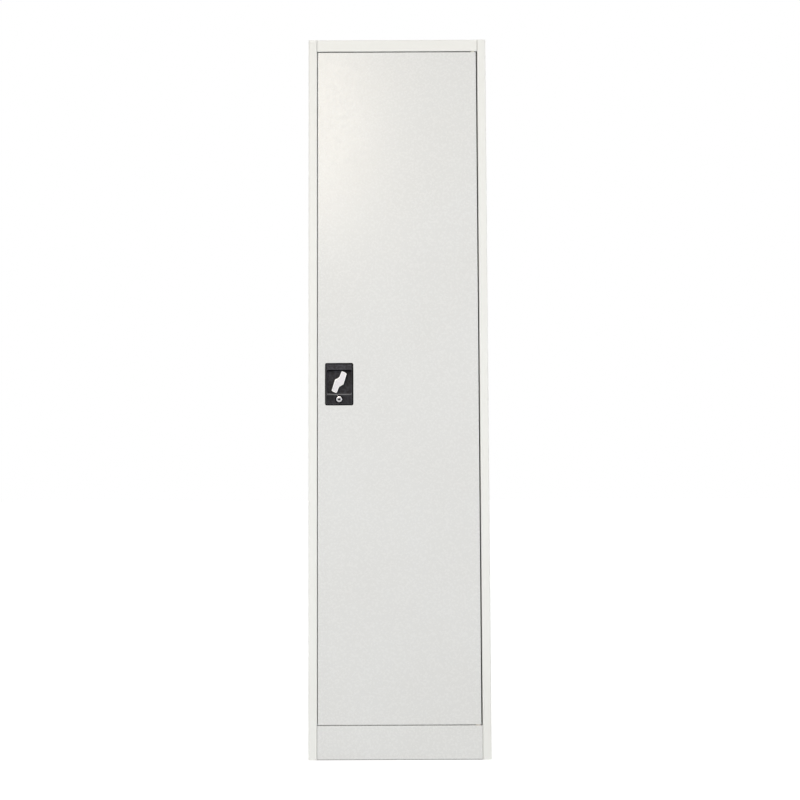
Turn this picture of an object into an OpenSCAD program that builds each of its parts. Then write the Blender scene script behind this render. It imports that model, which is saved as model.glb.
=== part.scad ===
// Single-door steel cupboard with adjustable shelves and a three-point turn-lever lock.
// The origin is the bottom centre of the whole object, +Z is up and the door faces -Y.
// Inside the modules, y is the depth behind the front face of the stiles and the door.

/* [Cabinet] */
// Width across the side panels
cabinet_w = 457; // [420:1:600]
// Depth from the front face of the stiles to the back
cabinet_d = 457; // [380:1:600]
// Height from the floor to the top panel
cabinet_h = 1830; // [1600:1:2000]
// Thickness of the steel sheet
sheet_t = 0.8; // [0.6:0.1:1.0]
// Outside radius of each fold in the sheet
fold_r = 2; // [1.5:0.1:2.4]
// Width of the hidden flanges along the edges of the panels
flange_w = 15; // [12:1:20]

/* [Front frame] */
// Face width of each stile
stile_w = 21.5; // [20:0.5:28]
// Depth of the stile's flange, welded to the inside of the side panel
stile_flange = 16; // [10:0.5:18]
// How far the side panel's front edge lies behind the front face
side_step = 1.2; // [0.8:0.1:2]
// Height of the top rail
rail_h = 30; // [28:1:50]
// Height of the plinth
plinth_h = 84; // [70:1:120]
// Depth from the front face to the door stop
rebate_d = 21.5; // [21:0.1:24]
// How far the door stop stands into the opening
stop_w = 12; // [10:0.5:13]
// Seam between panels that meet in the front face
seam = 0.6; // [0.4:0.1:1]
// How far the sill reaches behind the door stop
sill_lap = 8; // [6:0.5:14]
// Height of the floor panel's folded edges
floor_edge = 20; // [14:1:30]

/* [Door] */
// Thickness of the door over its folded edges
door_t = 18; // [17.8:0.1:18.4]
// Gap beside the door on the lock side
gap_lock = 2; // [1.5:0.1:3]
// Gap beside the door on the hinge side
gap_hinge = 3.5; // [3.2:0.1:4.5]
// Gap above the door
gap_top = 2.5; // [2:0.1:4]
// Gap below the door, filled by the bottom washer
gap_foot = 2; // [1.5:0.1:3]
// Width of the lips folded in at the back of the door
door_lip = 14; // [12:0.5:16]
// Width of the stiffener, without its flanges
stiffener_w = 46; // [30:1:70]
// Depth of the stiffener
stiffener_d = 13; // [8:0.5:15]
// Width of the stiffener's flanges
stiffener_foot = 12; // [8:0.5:16]
// Distance from the door's middle to the stiffener's, towards the hinges
stiffener_shift = 20; // [0:1:40]
// Space left above and below the stiffener
stiffener_end = 40; // [20:1:80]

/* [Hinge] */
// Radius of the hinge pins
pin_r = 3; // [2.5:0.1:3.4]
// Distance from the door's hinge edge to the pins
pin_side = 8; // [7.5:0.1:9]
// Distance from the front face to the pins
pin_back = 6.5; // [6:0.1:6.8]
// How far a pin passes through the door's plate
pin_lap = 2; // [1:0.5:6]
// Thickness of the steel plates that carry and receive the pins
pivot_t = 2.5; // [2:0.1:3]
// Length of those plates
pivot_w = 34; // [28:1:45]
// Radius of the nylon washers on the pins
washer_r = 5.5; // [4.8:0.1:6]
// Clearance under and over the top washer
washer_play = 0.25; // [0.1:0.05:0.5]
// Radius of a pin's head
pin_head_r = 5; // [4:0.1:5.5]
// Height of a pin's head
pin_head_h = 2; // [1:0.1:3]

/* [Handle plate] */
// Width of the plate
plate_w = 72; // [70:0.5:80]
// Height of the plate
plate_h = 108; // [106:0.5:120]
// How far the plate stands in front of the door
plate_t = 2.2; // [1.6:0.1:2.6]
// Width of the bevel round the plate
plate_bevel = 4; // [2:0.1:4.4]
// Corner radius of the plate
plate_r = 4.5; // [2:0.1:6]
// Distance from the door's lock edge to the plate
plate_side = 18.6; // [16:0.1:24]
// Height of the plate's centre above the floor
plate_z = 938.5; // [850:0.5:1050]
// Side clearance of the lever in the recess, at its mouth
recess_side = 2.2; // [1.4:0.1:2.6]
// Clearance between the lever's ends and the recess's upper and lower wall
recess_gap = 0.8; // [0.7:0.05:1.2]
// Depth of the recess behind the plate's face
recess_d = 12; // [11.6:0.1:12.2]
// How much narrower the recess is at its floor, on the sides and the top
recess_draft = 0.8; // [0:0.1:1]
// How far the recess's lower wall slopes
recess_slope = 4.5; // [3:0.5:6]
// Wall of the moulded cup
cup_wall = 2; // [1.6:0.1:2.2]
// Height of the strip above the recess that takes the bracket's screw
cup_land = 9; // [8:0.1:10]
// Wall of the bosses on the cup
boss_wall = 3; // [2.5:0.1:3.5]
// Height of the boss behind the cup that carries the spindle
boss_h = 2; // [1:0.1:2.4]
// Width of the sunk ring round the barrel's head
seat_gap = 2.4; // [1:0.1:3]
// Depth of that ring
seat_d = 0.8; // [0.4:0.1:1.2]
// Height of the spindle above the plate's centre
spindle_up = 5; // [4:0.1:5.4]
// Height of the spindle above the key
key_down = 43.5; // [42.5:0.1:45]

/* [Turn lever] */
// Radius of the circle that the ends of the lever lie on
lever_r = 28.8; // [26:0.1:29]
// Width of each arm of the lever
arm_w = 15.6; // [14:0.1:18]
// How much narrower each arm is at its end
arm_taper = 1.8; // [0:0.1:3]
// Distance from the spindle to an arm's outer side
arm_out = 12; // [11:0.1:13]
// Where an arm's outer side ends, past the spindle
elbow = 2.9; // [2:0.1:5]
// Radius in the inner corners of the lever
elbow_r = 5; // [2:0.5:8]
// Thickness of the lever
lever_t = 5.6; // [4:0.1:6]
// How far the lever stands in front of the plate
lever_proud = 1; // [0.8:0.1:2]
// Tilt of the released lever from upright, to the right
lever_tilt = 17; // [0:1:30]
// Turn of the lever from released to latched
lever_throw = 73; // [60:1:80]
// Radius of the spindle's journal
spindle_r = 5; // [4.6:0.1:5.5]
// Width across the flats of the spindle's square
square_w = 6.5; // [5.5:0.1:6.7]

/* [Handle bracket] */
// Thickness of the bracket that holds the handle plate against the door
bracket_t = 1.6; // [1.2:0.1:1.8]
// Height of the bracket
bracket_h = 7; // [6:0.5:8]
// Width of the bracket's feet
bracket_foot = 8; // [6:0.5:9]
// Radius of the bracket's screw
screw_r = 1.5; // [1.2:0.1:1.8]
// Radius of its head
screw_head_r = 3; // [2.4:0.1:3.4]
// Height of its head
screw_head_h = 2; // [1.5:0.1:2.4]

/* [Lock] */
// Thickness of the cam disc, the latch pawl and the lock bars
bar_t = 2.5; // [2:0.1:2.5]
// Radius of the cam disc
disc_r = 20; // [19:0.1:21]
// Radius of the circle that the cam pins lie on
crank_r = 14; // [13.4:0.1:14.4]
// Radius of the cam pins
crank_pin_r = 2.5; // [2:0.1:2.8]
// Width of the lock bars
bar_w = 10; // [9:0.1:12]
// How far a released bar's tip lies inside the door's edge
tip_inset = 1.5; // [1:0.1:4]
// Bevel on a bar's tip
tip_bevel = 3; // [1:0.5:4]
// Wall round a bar's slot
head_wall = 3; // [2.5:0.1:3]
// Clearance of the bars in their guides and slots
bar_gap = 0.4; // [0.3:0.05:0.6]
// Distance from the door's edge to the outer bar guides
guide_end = 70; // [50:1:120]
// Height of a bar guide
guide_h = 16; // [12:1:24]
// Wall of a bar guide beside the bar
guide_wall = 4; // [3:0.5:5]
// Wall of a bar guide behind the bar
guide_back = 2; // [1.5:0.1:2.2]
// Width of a bar guide's feet
guide_foot = 6; // [4:0.5:7]
// How far the pawl reaches behind the door stop
pawl_bite = 7.5; // [5:0.1:9]
// Width of the pawl
pawl_w = 16; // [13:0.5:18]
// Bevel on the pawl's end
pawl_bevel = 4; // [2:0.5:6]
// Space between the cam disc and the bars
disc_gap = 0.5; // [0.3:0.05:0.7]
// Space between the door stop and the pawl
pawl_gap = 1; // [0.8:0.1:1.6]
// Radius of the pawl's washer and spacer
collar_r = 7; // [6:0.1:8]
// Thickness of the pawl's washer
collar_t = 1; // [0.6:0.1:1.4]
// Corner radius of the nut behind the pawl
nut_r = 5.8; // [5.2:0.1:6.4]
// Height of that nut
nut_h = 5; // [4:0.1:5.5]
// Radius of the barrel's body
barrel_r = 7.2; // [6.8:0.1:7.8]
// Radius of the barrel's head
barrel_head_r = 8; // [7.9:0.1:8.6]
// How far the barrel's head stands in front of the plate
barrel_proud = 0.8; // [0.4:0.1:0.8]
// Radius of the key plug
plug_r = 4.8; // [4.5:0.1:5.2]
// How far the plug's face lies inside the barrel's head
plug_in = 0.4; // [0.2:0.1:0.8]
// Depth of the keyway
keyway_d = 12; // [8:0.5:14]
// How far the lock cam reaches into the disc's notches
cam_bite = 1.5; // [1:0.1:1.8]
// Width of the lock cam
cam_w = 8; // [7:0.1:9]
// Thickness of the lock cam
cam_t = 2; // [1.5:0.1:2.2]
// Width of the plug's square that carries the cam
stub_w = 5; // [4.5:0.1:5.4]
// Radius of the cam's screw
cam_screw_r = 1.5; // [1.2:0.1:1.6]
// Radius of its head
cam_head_r = 3.6; // [3:0.1:4]
// Height of its head
cam_head_h = 1.6; // [1.2:0.1:2]

/* [Shelves] */
// Distance between the slots of the uprights
slot_pitch = 50; // [40:1:60]
// Length of a slot
slot_w = 12; // [10:0.5:14]
// Height of a slot
slot_h = 4; // [3:0.1:5]
// Distance from the floor panel to the first slot, and from the last slot to the top rail
slot_end = 60; // [40:1:100]
// Width of the uprights
upright_w = 24; // [22:0.5:30]
// Depth of the uprights
upright_d = 10; // [8:0.5:12]
// Width of the uprights' flanges
upright_foot = 7; // [5:0.5:9]
// Distance from the door stop to the front uprights
upright_start = 10; // [9:0.5:30]
// Distance from the back panel to the rear uprights
upright_end = 30; // [12:0.5:60]
// Height of the shelves' folded edges
shelf_h = 25; // [20:1:30]
// Width of the lips under the shelves
shelf_lip = 12; // [8:0.5:16]
// Distance from the front face to the shelves
shelf_front = 38; // [36:0.5:60]
// Clearance beside a shelf
shelf_gap = 0.5; // [0.3:0.1:1]
// Clearance behind a shelf
shelf_back = 3; // [1:0.5:10]
// Thickness of the shelf clips
clip_t = 1.5; // [1:0.1:2]
// Width of a clip
clip_w = 16; // [13:0.5:20]
// Length of a clip's leg
clip_leg = 18; // [12:0.5:24]
// Length of a clip's hook behind the slot
clip_hook = 5; // [3:0.5:8]
// How far a clip's ledge reaches under the shelf
ledge_w = 14; // [10:0.5:18]

/* [Small fits] */
// Running clearance of pins and journals in their bores
run_gap = 0.05; // [0.03:0.01:0.08]
// Clearance between parts that lie beside each other
fit_gap = 0.2; // [0.15:0.05:0.3]
// Radius of the rubber door buffers
buffer_r = 4; // [3:0.1:4.5]
// Space between the buffers and the closed door
buffer_gap = 0.3; // [0.2:0.05:0.6]

/* [Hidden] */
$fn = 48;

// Finishes
paint = [0.88, 0.88, 0.86];
zinc = [0.75, 0.75, 0.77];
black_plastic = [0.13, 0.13, 0.14];
nylon = [0.90, 0.90, 0.88];
rubber = [0.16, 0.16, 0.16];

// Cuts run this far past a face
past = 1;

// The whole object, handle included, is centred on the origin
front_y = -(cabinet_d - plate_t - max(lever_proud, barrel_proud)) / 2;
half_w = cabinet_w / 2;
wall_x = half_w - sheet_t;
stile_x = half_w - stile_w;
stop_x = stile_x - stop_w;
rail_z = cabinet_h - rail_h;
floor_z = plinth_h + stop_w;
stop_back = rebate_d + sheet_t;
back_y = cabinet_d - 2 * sheet_t;

// Door edges
door_x0 = -stile_x + gap_lock;
door_x1 = stile_x - gap_hinge;
door_z0 = plinth_h + gap_foot;
door_z1 = rail_z - gap_top;
pin_x = door_x1 - pin_side;

// Places on the handle
plate_x = door_x0 + plate_side + plate_w / 2;
spindle_z = plate_z + spindle_up;
key_z = spindle_z - key_down;
lever_face = -plate_t - lever_proud;
lever_back = lever_face + lever_t;
plug_face = -plate_t - barrel_proud + plug_in;
recess_x = lever_r + recess_side;
recess_up = lever_r + recess_gap;
recess_down = lever_r + recess_gap + recess_slope * (lever_back + plate_t) / recess_d;
recess_floor = recess_d - plate_t;
cup_back = recess_floor + cup_wall;
cup_x = recess_x + cup_wall;
cup_z1 = spindle_z + recess_up + cup_wall + cup_land;
cup_z0 = key_z - barrel_head_r - 2 * cup_wall;
boss_r = spindle_r + boss_wall;
boss_rise = 1;
neck_y = recess_floor - boss_rise - fit_gap;
bracket_z = cup_z1 - (cup_land + cup_wall) / 2;

// The lock's layers, counted back from the cup
bar_y = cup_back + boss_h + bar_gap;
disc_y = bar_y + bar_t + disc_gap;
pawl_y = stop_back + pawl_gap;
nut_y = pawl_y + bar_t + collar_t;
thread_r = square_w / 2 - 0.3;
spindle_end = nut_y + nut_h + 1.2;
cam_back = disc_y + cam_t;

// The cranked bars: each pin swings evenly above and below the spindle's height
crank_rise = crank_r * sin(lever_throw / 2);
crank_in = crank_r * cos(lever_throw / 2);
bar_travel = 2 * crank_rise;
slot_in = crank_in - crank_pin_r - bar_gap;
slot_out = crank_r + crank_pin_r + bar_gap;
head_in = slot_in - head_wall;
bar_out = slot_out + head_wall + 1;
bar_in = bar_out - bar_w;
cam_len = key_down - disc_r + cam_bite;
pawl_len = stop_x + plate_x + pawl_bite;

// Uprights, slots and shelves
web_x = wall_x - upright_d;
first_slot = floor_z + slot_end;
slot_count = floor((rail_z - slot_end - first_slot) / slot_pitch) + 1;
upright_front = stop_back + upright_start + upright_w / 2;
upright_rear = back_y - upright_end - upright_w / 2;
shelf_count = 4;
shelf_step = floor(slot_count / (shelf_count + 0.5));
first_shelf = floor((slot_count - shelf_step * (shelf_count - 1)) / 2);
shelf_x = web_x - clip_t - shelf_gap;
shelf_rear = back_y - shelf_back;

// Slot that carries shelf i, both counted from 0
function shelf_slot(i) = first_shelf + i * shelf_step;
// Height of slot k
function slot_z(k) = first_slot + k * slot_pitch;
// Height of the underside of shelf i, which is the top of its clips' ledges
function shelf_z(i) = slot_z(shelf_slot(i)) + slot_h;

// Unit vector from a to b, and the vector square to it
function towards(a, b) = (b - a) / norm(b - a);
function square_to(v) = [-v[1], v[0]];
// The points of a polygon, anticlockwise whichever way they were listed
function wound(p) =
    [for (i = [0:len(p) - 1]) cross(p[i], p[(i + 1) % len(p)])] * [for (i = p) 1] > 0
    ? p : [for (i = [len(p) - 1:-1:0]) p[i]];

// Moves a child from the depth frame, where y is 0 at the front face, to the object's frame
module placed() {
    translate([0, front_y, 0]) children();
}

// Extrudes a drawing of (y, z) along x, from x0 to x1
module along_x(x0, x1) {
    translate([x0, 0, 0]) rotate([90, 0, 90]) linear_extrude(x1 - x0) children();
}

// Extrudes a drawing of (x, z) along y, from y0 to y1
module along_y(y0, y1) {
    translate([0, y1, 0]) rotate([90, 0, 0]) linear_extrude(y1 - y0) children();
}

// Extrudes a drawing of (x, y) along z, from z0 to z1
module along_z(z0, z1) {
    translate([0, 0, z0]) linear_extrude(z1 - z0) children();
}

// Box between two corners
module span(low, high) {
    translate(low) cube(high - low);
}

// Rectangle between two corners
module area(low, high) {
    translate(low) square(high - low);
}

// Rectangle between two corners, with round corners
module round_area(low, high, r) {
    area(low + [r, 0], high - [r, 0]);
    area(low + [0, r], high - [0, r]);
    for (x = [low[0] + r, high[0] - r], y = [low[1] + r, high[1] - r])
        translate([x, y]) circle(r);
}

// Section of a folded sheet along the middle of its thickness, with square turns
module folded(path, t = sheet_t, r = fold_r) {
    mid = r - t / 2;
    last = len(path) - 1;
    for (i = [0:last - 1]) {
        along = towards(path[i], path[i + 1]);
        across = square_to(along) * t / 2;
        a = path[i] + along * (i == 0 ? 0 : mid);
        b = path[i + 1] - along * (i == last - 1 ? 0 : mid);
        if (norm(b - a) > 0.01) polygon([a - across, b - across, b + across, a + across]);
    }
    for (i = [1:last - 1]) {
        come = towards(path[i - 1], path[i]);
        go = towards(path[i], path[i + 1]);
        c = path[i] + (go - come) * mid;
        intersection() {
            polygon(wound([c, c + come * 2 * r, c + (come - go) * 2 * r, c - go * 2 * r]));
            translate(c) difference() {
                circle(r);
                circle(r - t);
            }
        }
    }
}

// Block between two corners with round edges along x and z, mitred where they meet
module soft_block(low, high, r) {
    intersection() {
        along_z(low[2], high[2]) round_area([low[0], low[1]], [high[0], high[1]], r);
        along_x(low[0], high[0]) round_area([low[1], low[2]], [high[1], high[2]], r);
    }
}

// Cylinder along y
module rod_y(r, y0, y1, facets = $fn) {
    translate([0, y1, 0]) rotate([90, 0, 0]) cylinder(r = r, h = y1 - y0, $fn = facets);
}

// Cylinder along z
module rod_z(r, z0, z1) {
    translate([0, 0, z0]) cylinder(r = r, h = z1 - z0);
}

// Side panel, drawn on the left: one sheet with flanges at the back, the top and the bottom
module side_panel() {
    m = sheet_t / 2;
    color(paint) placed() {
        along_z(0, cabinet_h - sheet_t)
            folded([
                [-half_w + flange_w, cabinet_d - m],
                [-half_w + m, cabinet_d - m],
                [-half_w + m, side_step]
            ]);
        for (z = [0, cabinet_h - 2 * sheet_t])
            span([-wall_x - m, stop_back + fold_r, z], [-half_w + flange_w, back_y - fold_r, z + sheet_t]);
    }
}

// Stile, drawn on the left: weld flange inside the side panel, face, return and door stop
module stile() {
    m = sheet_t / 2;
    color(paint) placed() {
        along_z(0, cabinet_h - sheet_t)
            folded([
                [-wall_x + m, stile_flange],
                [-wall_x + m, m],
                [-stile_x - m, m],
                [-stile_x - m, rebate_d - fold_r]
            ]);
        along_z(plinth_h + fit_gap, rail_z - fit_gap)
            folded([
                [-stile_x - m, rebate_d - fold_r],
                [-stile_x - m, rebate_d + m],
                [-stop_x, rebate_d + m]
            ]);
    }
}

// Back panel, laid against the rear flanges from inside
module back_panel() {
    x = half_w - fold_r;
    color(paint) placed()
        span([-x, back_y, 0], [x, back_y + sheet_t, cabinet_h - fold_r - fit_gap]);
}

// Top panel: lid, front rail, return over the door, door stop and rear flange
module top_panel() {
    m = sheet_t / 2;
    rail_x = stile_x - seam;
    lid_m = cabinet_h - m;
    return_m = rail_z + m;
    color(paint) placed() difference() {
        union() {
            along_z(cabinet_h - sheet_t, cabinet_h) difference() {
                round_area([-half_w, 0], [half_w, cabinet_d], fold_r);
                area([-rail_x, -past], [rail_x, fold_r]);
                area([-half_w + flange_w, cabinet_d - fold_r], [half_w - flange_w, cabinet_d + past]);
            }
            along_x(-rail_x, rail_x)
                folded([[fold_r, lid_m], [m, lid_m], [m, return_m], [rebate_d - fold_r, return_m]]);
            along_x(-stop_x + fit_gap, stop_x - fit_gap)
                folded([
                    [rebate_d - fold_r, return_m],
                    [rebate_d + m, return_m],
                    [rebate_d + m, rail_z - stop_w]
                ]);
            along_x(-half_w + flange_w + fit_gap, half_w - flange_w - fit_gap)
                folded([
                    [cabinet_d - fold_r, lid_m],
                    [cabinet_d - m, lid_m],
                    [cabinet_d - m, cabinet_h - flange_w]
                ]);
        }
        translate([pin_x, pin_back, 0]) rod_z(pin_r + fit_gap, rail_z - past, rail_z + sheet_t + past);
        bar_slot(-1, rail_z - past, rail_z + sheet_t + past);
    }
}

// Slot for a lock bar through a sheet: side -1 is the upper bar's, 1 the lower bar's
module bar_slot(side, z0, z1, y1 = bar_y + bar_t + 2 * bar_gap) {
    x = plate_x + side * (bar_in + bar_out) / 2;
    w = bar_w / 2 + 2 * bar_gap;
    span([x - w, bar_y - 2 * bar_gap, z0], [x + w, y1, z1]);
}

// Floor panel: its folded front edge is the lower door stop
module floor_panel() {
    m = sheet_t / 2;
    side = wall_x - m;
    front_x = stop_x - fit_gap;
    rear = back_y - m;
    edge = floor_z - floor_edge;
    bend_y = rebate_d + fold_r;
    color(paint) placed() {
        span([-wall_x + fold_r, bend_y, floor_z - sheet_t], [wall_x - fold_r, back_y - fold_r, floor_z]);
        for (s = [-1, 1])
            along_z(floor_z - sheet_t, floor_z)
                area(
                    [s > 0 ? front_x : -wall_x + fold_r, stop_back + fit_gap],
                    [s > 0 ? wall_x - fold_r : -front_x, bend_y]
                );
        along_x(-front_x, front_x)
            folded([[bend_y, floor_z - m], [rebate_d + m, floor_z - m], [rebate_d + m, plinth_h]]);
        for (s = [-1, 1])
            along_y(stop_back + fit_gap, back_y - fold_r)
                folded([
                    [s * (wall_x - fold_r), floor_z - m],
                    [s * side, floor_z - m],
                    [s * side, edge]
                ]);
        along_x(-wall_x + fold_r, wall_x - fold_r)
            folded([[back_y - fold_r, floor_z - m], [rear, floor_z - m], [rear, edge]]);
    }
}

// Plinth: kick plate with a sill under the door and a foot on the floor
module plinth() {
    m = sheet_t / 2;
    x = stile_x - seam;
    sill_back = stop_back + sill_lap;
    color(paint) placed() difference() {
        along_x(-x, x)
            folded([
                [sill_back, plinth_h - m],
                [m, plinth_h - m],
                [m, m],
                [flange_w, m]
            ]);
        translate([pin_x, pin_back, 0]) rod_z(pin_r + fit_gap, plinth_h - sheet_t - past, plinth_h + past);
        bar_slot(1, plinth_h - sheet_t - past, plinth_h + past);
    }
}

// Slotted shelf upright on the left wall, its middle at depth y
module upright(y) {
    m = sheet_t / 2;
    half = upright_w / 2;
    color(paint) placed() difference() {
        along_z(floor_z, rail_z)
            folded([
                [-wall_x + m, y - half - upright_foot],
                [-wall_x + m, y - half],
                [-web_x - m, y - half],
                [-web_x - m, y + half],
                [-wall_x + m, y + half],
                [-wall_x + m, y + half + upright_foot]
            ]);
        for (k = [0:slot_count - 1])
            span(
                [-web_x - sheet_t - past, y - slot_w / 2, slot_z(k)],
                [-web_x + past, y + slot_w / 2, slot_z(k) + slot_h]
            );
    }
}

// Shelf i: a tray turned upside down, with lips under all four edges
module shelf(i) {
    low = [-shelf_x, shelf_front, shelf_z(i)];
    high = [shelf_x, shelf_rear, shelf_z(i) + shelf_h];
    skin = [sheet_t, sheet_t, sheet_t];
    lip = [shelf_lip, shelf_lip];
    color(paint) placed() difference() {
        soft_block(low, high, fold_r);
        soft_block(low + skin, high - skin, fold_r - sheet_t);
        span(
            [low[0] + shelf_lip, low[1] + shelf_lip, low[2] - past],
            [high[0] - shelf_lip, high[1] - shelf_lip, low[2] + 2 * sheet_t]
        );
    }
}

// Clip in the left upright at depth y, for shelf i: leg, ledge and a hook through the slot
module shelf_clip(i, y) {
    top = shelf_z(i);
    slot = top - slot_h;
    half = clip_w / 2;
    tongue = slot_w / 2 - fit_gap;
    hook_back = -web_x - sheet_t - fit_gap;
    hook_top = slot + fit_gap + clip_t;
    span([-web_x, y - half, top - clip_leg], [-web_x + clip_t, y + half, top]);
    span([-web_x, y - half, top - clip_t], [-web_x + clip_t + ledge_w, y + half, top]);
    span([hook_back - clip_t, y - tongue, slot + fit_gap], [-web_x, y + tongue, hook_top]);
    span([hook_back - clip_t, y - tongue, slot - clip_hook], [hook_back, y + tongue, hook_top]);
}

module shelf_clips() {
    color(zinc) placed()
        for (i = [0:shelf_count - 1], y = [upright_front, upright_rear]) {
            shelf_clip(i, y);
            mirror([1, 0, 0]) shelf_clip(i, y);
        }
}

// Plate that carries a hinge pin, from z0 upwards, inside the rail or under the sill
module pivot_plate(z0) {
    color(zinc) placed() difference() {
        span([stile_x - seam - pivot_w, fold_r, z0], [stile_x - seam, rebate_d - fold_r, z0 + pivot_t]);
        translate([pin_x, pin_back, 0]) rod_z(pin_r + run_gap, z0 - past, z0 + pivot_t + past);
    }
}

// Plate that turns on a hinge pin, from z0 upwards, inside the door
module door_bearing(z0) {
    color(zinc) placed() difference() {
        span([door_x1 - fold_r - pivot_w, fold_r, z0], [door_x1 - fold_r, door_t - fold_r, z0 + pivot_t]);
        translate([pin_x, pin_back, 0]) rod_z(pin_r + run_gap, z0 - past, z0 + pivot_t + past);
    }
}

// Hinge pin with its head at the frame's end; way is 1 where the pin points up
module hinge_pin(plate_face, tip, way) {
    color(zinc) placed() translate([pin_x, pin_back, 0]) {
        rod_z(pin_r, min(plate_face, tip), max(plate_face, tip));
        rod_z(
            pin_head_r,
            plate_face - (way > 0 ? pin_head_h : 0),
            plate_face + (way > 0 ? 0 : pin_head_h)
        );
    }
}

// Nylon washer between the door and the frame
module hinge_washer(z0, z1) {
    color(nylon) placed() translate([pin_x, pin_back, 0]) difference() {
        rod_z(washer_r, z0, z1);
        rod_z(pin_r + run_gap, z0 - past, z1 + past);
    }
}

// Rubber buffers on the lock side's door stop
module door_buffers() {
    x = -stop_x - buffer_r - fit_gap;
    color(rubber) placed()
        for (z = [door_z0 + guide_end, spindle_z + 200, door_z1 - guide_end])
            translate([x, 0, z]) rod_y(buffer_r, door_t + buffer_gap, rebate_d);
}

// Door shell: a tray with folded edges and lips, open at the back
module door_shell() {
    low = [door_x0, 0, door_z0];
    high = [door_x1, door_t, door_z1];
    skin = [sheet_t, sheet_t, sheet_t];
    color(paint) placed() difference() {
        soft_block(low, high, fold_r);
        soft_block(low + skin, high - skin, fold_r - sheet_t);
        span(
            [low[0] + door_lip, door_t - 2 * sheet_t, low[2] + door_lip],
            [high[0] - door_lip, door_t + past, high[2] - door_lip]
        );
        span(
            [plate_x - cup_x - fit_gap, -past, cup_z0 - fit_gap],
            [plate_x + cup_x + fit_gap, 2 * sheet_t, cup_z1 + fit_gap]
        );
        translate([pin_x, pin_back, 0]) {
            rod_z(pin_r + fit_gap, low[2] - past, low[2] + 2 * sheet_t);
            rod_z(pin_r + fit_gap, high[2] - 2 * sheet_t, high[2] + past);
        }
        bar_slot(-1, high[2] - 2 * fold_r, high[2] + past, door_t + past);
        bar_slot(1, low[2] - past, low[2] + 2 * fold_r, door_t + past);
    }
}

// Hat-section stiffener down the middle of the door's inner side
module door_stiffener() {
    m = sheet_t / 2;
    x = (door_x0 + door_x1) / 2 + stiffener_shift;
    half = stiffener_w / 2;
    y0 = sheet_t + m;
    y1 = sheet_t + stiffener_d - m;
    color(paint) placed()
        along_z(door_z0 + stiffener_end, door_z1 - stiffener_end)
            folded([
                [x - half - stiffener_foot, y0],
                [x - half, y0],
                [x - half, y1],
                [x + half, y1],
                [x + half, y0],
                [x + half + stiffener_foot, y0]
            ]);
}

// Moulded guide for a lock bar, its middle at height z
module bar_guide(side, z) {
    x = plate_x + side * (bar_in + bar_out) / 2;
    half = guide_h / 2;
    way = bar_w / 2 + bar_gap;
    body = way + guide_wall;
    difference() {
        union() {
            span(
                [x - body - guide_foot, sheet_t, z - half],
                [x + body + guide_foot, sheet_t + guide_back, z + half]
            );
            span([x - body, sheet_t, z - half], [x + body, bar_y + bar_t + guide_back, z + half]);
        }
        span(
            [x - way, bar_y - bar_gap, z - half - past],
            [x + way, bar_y + bar_t + bar_gap, z + half + past]
        );
    }
}

module bar_guides() {
    color(black_plastic) placed() {
        bar_guide(-1, door_z1 - guide_end);
        bar_guide(-1, (spindle_z + door_z1) / 2);
        bar_guide(1, door_z0 + guide_end);
        bar_guide(1, (spindle_z + door_z0) / 2);
    }
}

// Four-sided taper along y: each side of the mouth at y0 moves in by its own amount at y1
module tapered(low, high, y0, y1, sides, down, up) {
    intersection() {
        along_z(low[1], high[1])
            polygon(wound([[low[0], y0], [high[0], y0], [high[0] - sides, y1], [low[0] + sides, y1]]));
        along_x(low[0], high[0])
            polygon(wound([[y0, low[1]], [y0, high[1]], [y1, high[1] - up], [y1, low[1] + down]]));
    }
}

// Handle plate: bevelled face, cup for the lever, seats for the lock barrel and the bracket
module handle_plate() {
    low = [plate_x - plate_w / 2, plate_z - plate_h / 2];
    high = [plate_x + plate_w / 2, plate_z + plate_h / 2];
    // The recess's taper is carried on in front of the face, so that its mouth is cut cleanly
    ahead = past / recess_d;
    taper = 1 + ahead;
    side = recess_x + recess_draft * ahead;
    recess_low = [plate_x - side, spindle_z - recess_down - recess_slope * ahead];
    recess_high = [plate_x + side, spindle_z + recess_up + recess_draft * ahead];
    color(black_plastic) placed() difference() {
        union() {
            intersection() {
                tapered(low, high, 0, -plate_t, plate_bevel, plate_bevel, plate_bevel);
                along_y(-plate_t, 0) round_area(low, high, plate_r);
            }
            span([plate_x - cup_x, 0, cup_z0], [plate_x + cup_x, cup_back, cup_z1]);
            translate([plate_x, 0, spindle_z]) rod_y(boss_r, 0, cup_back + boss_h);
        }
        difference() {
            tapered(
                recess_low, recess_high, -plate_t - past, recess_floor,
                recess_draft * taper, recess_slope * taper, recess_draft * taper
            );
            translate([plate_x, 0, spindle_z])
                rod_y(boss_r + fit_gap, recess_floor - boss_rise, recess_floor + past);
        }
        cup_pocket(cup_z0 + cup_wall, spindle_z - recess_down - cup_wall, key_z, barrel_r + cup_wall);
        cup_pocket(spindle_z + recess_up + cup_wall, cup_z1 - cup_wall, bracket_z, screw_r + boss_wall);
        translate([plate_x, 0, spindle_z]) rod_y(spindle_r + run_gap, 0, cup_back + boss_h + past);
        translate([plate_x, 0, key_z]) {
            rod_y(barrel_r + fit_gap, -plate_t - past, cup_back + past);
            rod_y(barrel_head_r + seat_gap, -plate_t - past, -plate_t + seat_d);
        }
        translate([plate_x, 0, bracket_z]) rod_y(screw_r, cup_back - screw_in, cup_back + past);
    }
}

// How far the bracket's screw goes into the cup
screw_in = 8;

// Space in the back of the cup between two heights, with a boss left standing at height z
module cup_pocket(z0, z1, z, r) {
    difference() {
        span([plate_x - recess_x, cup_wall, z0], [plate_x + recess_x, cup_back + past, z1]);
        translate([plate_x, 0, z]) rod_y(r, 0, cup_back);
    }
}

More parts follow.
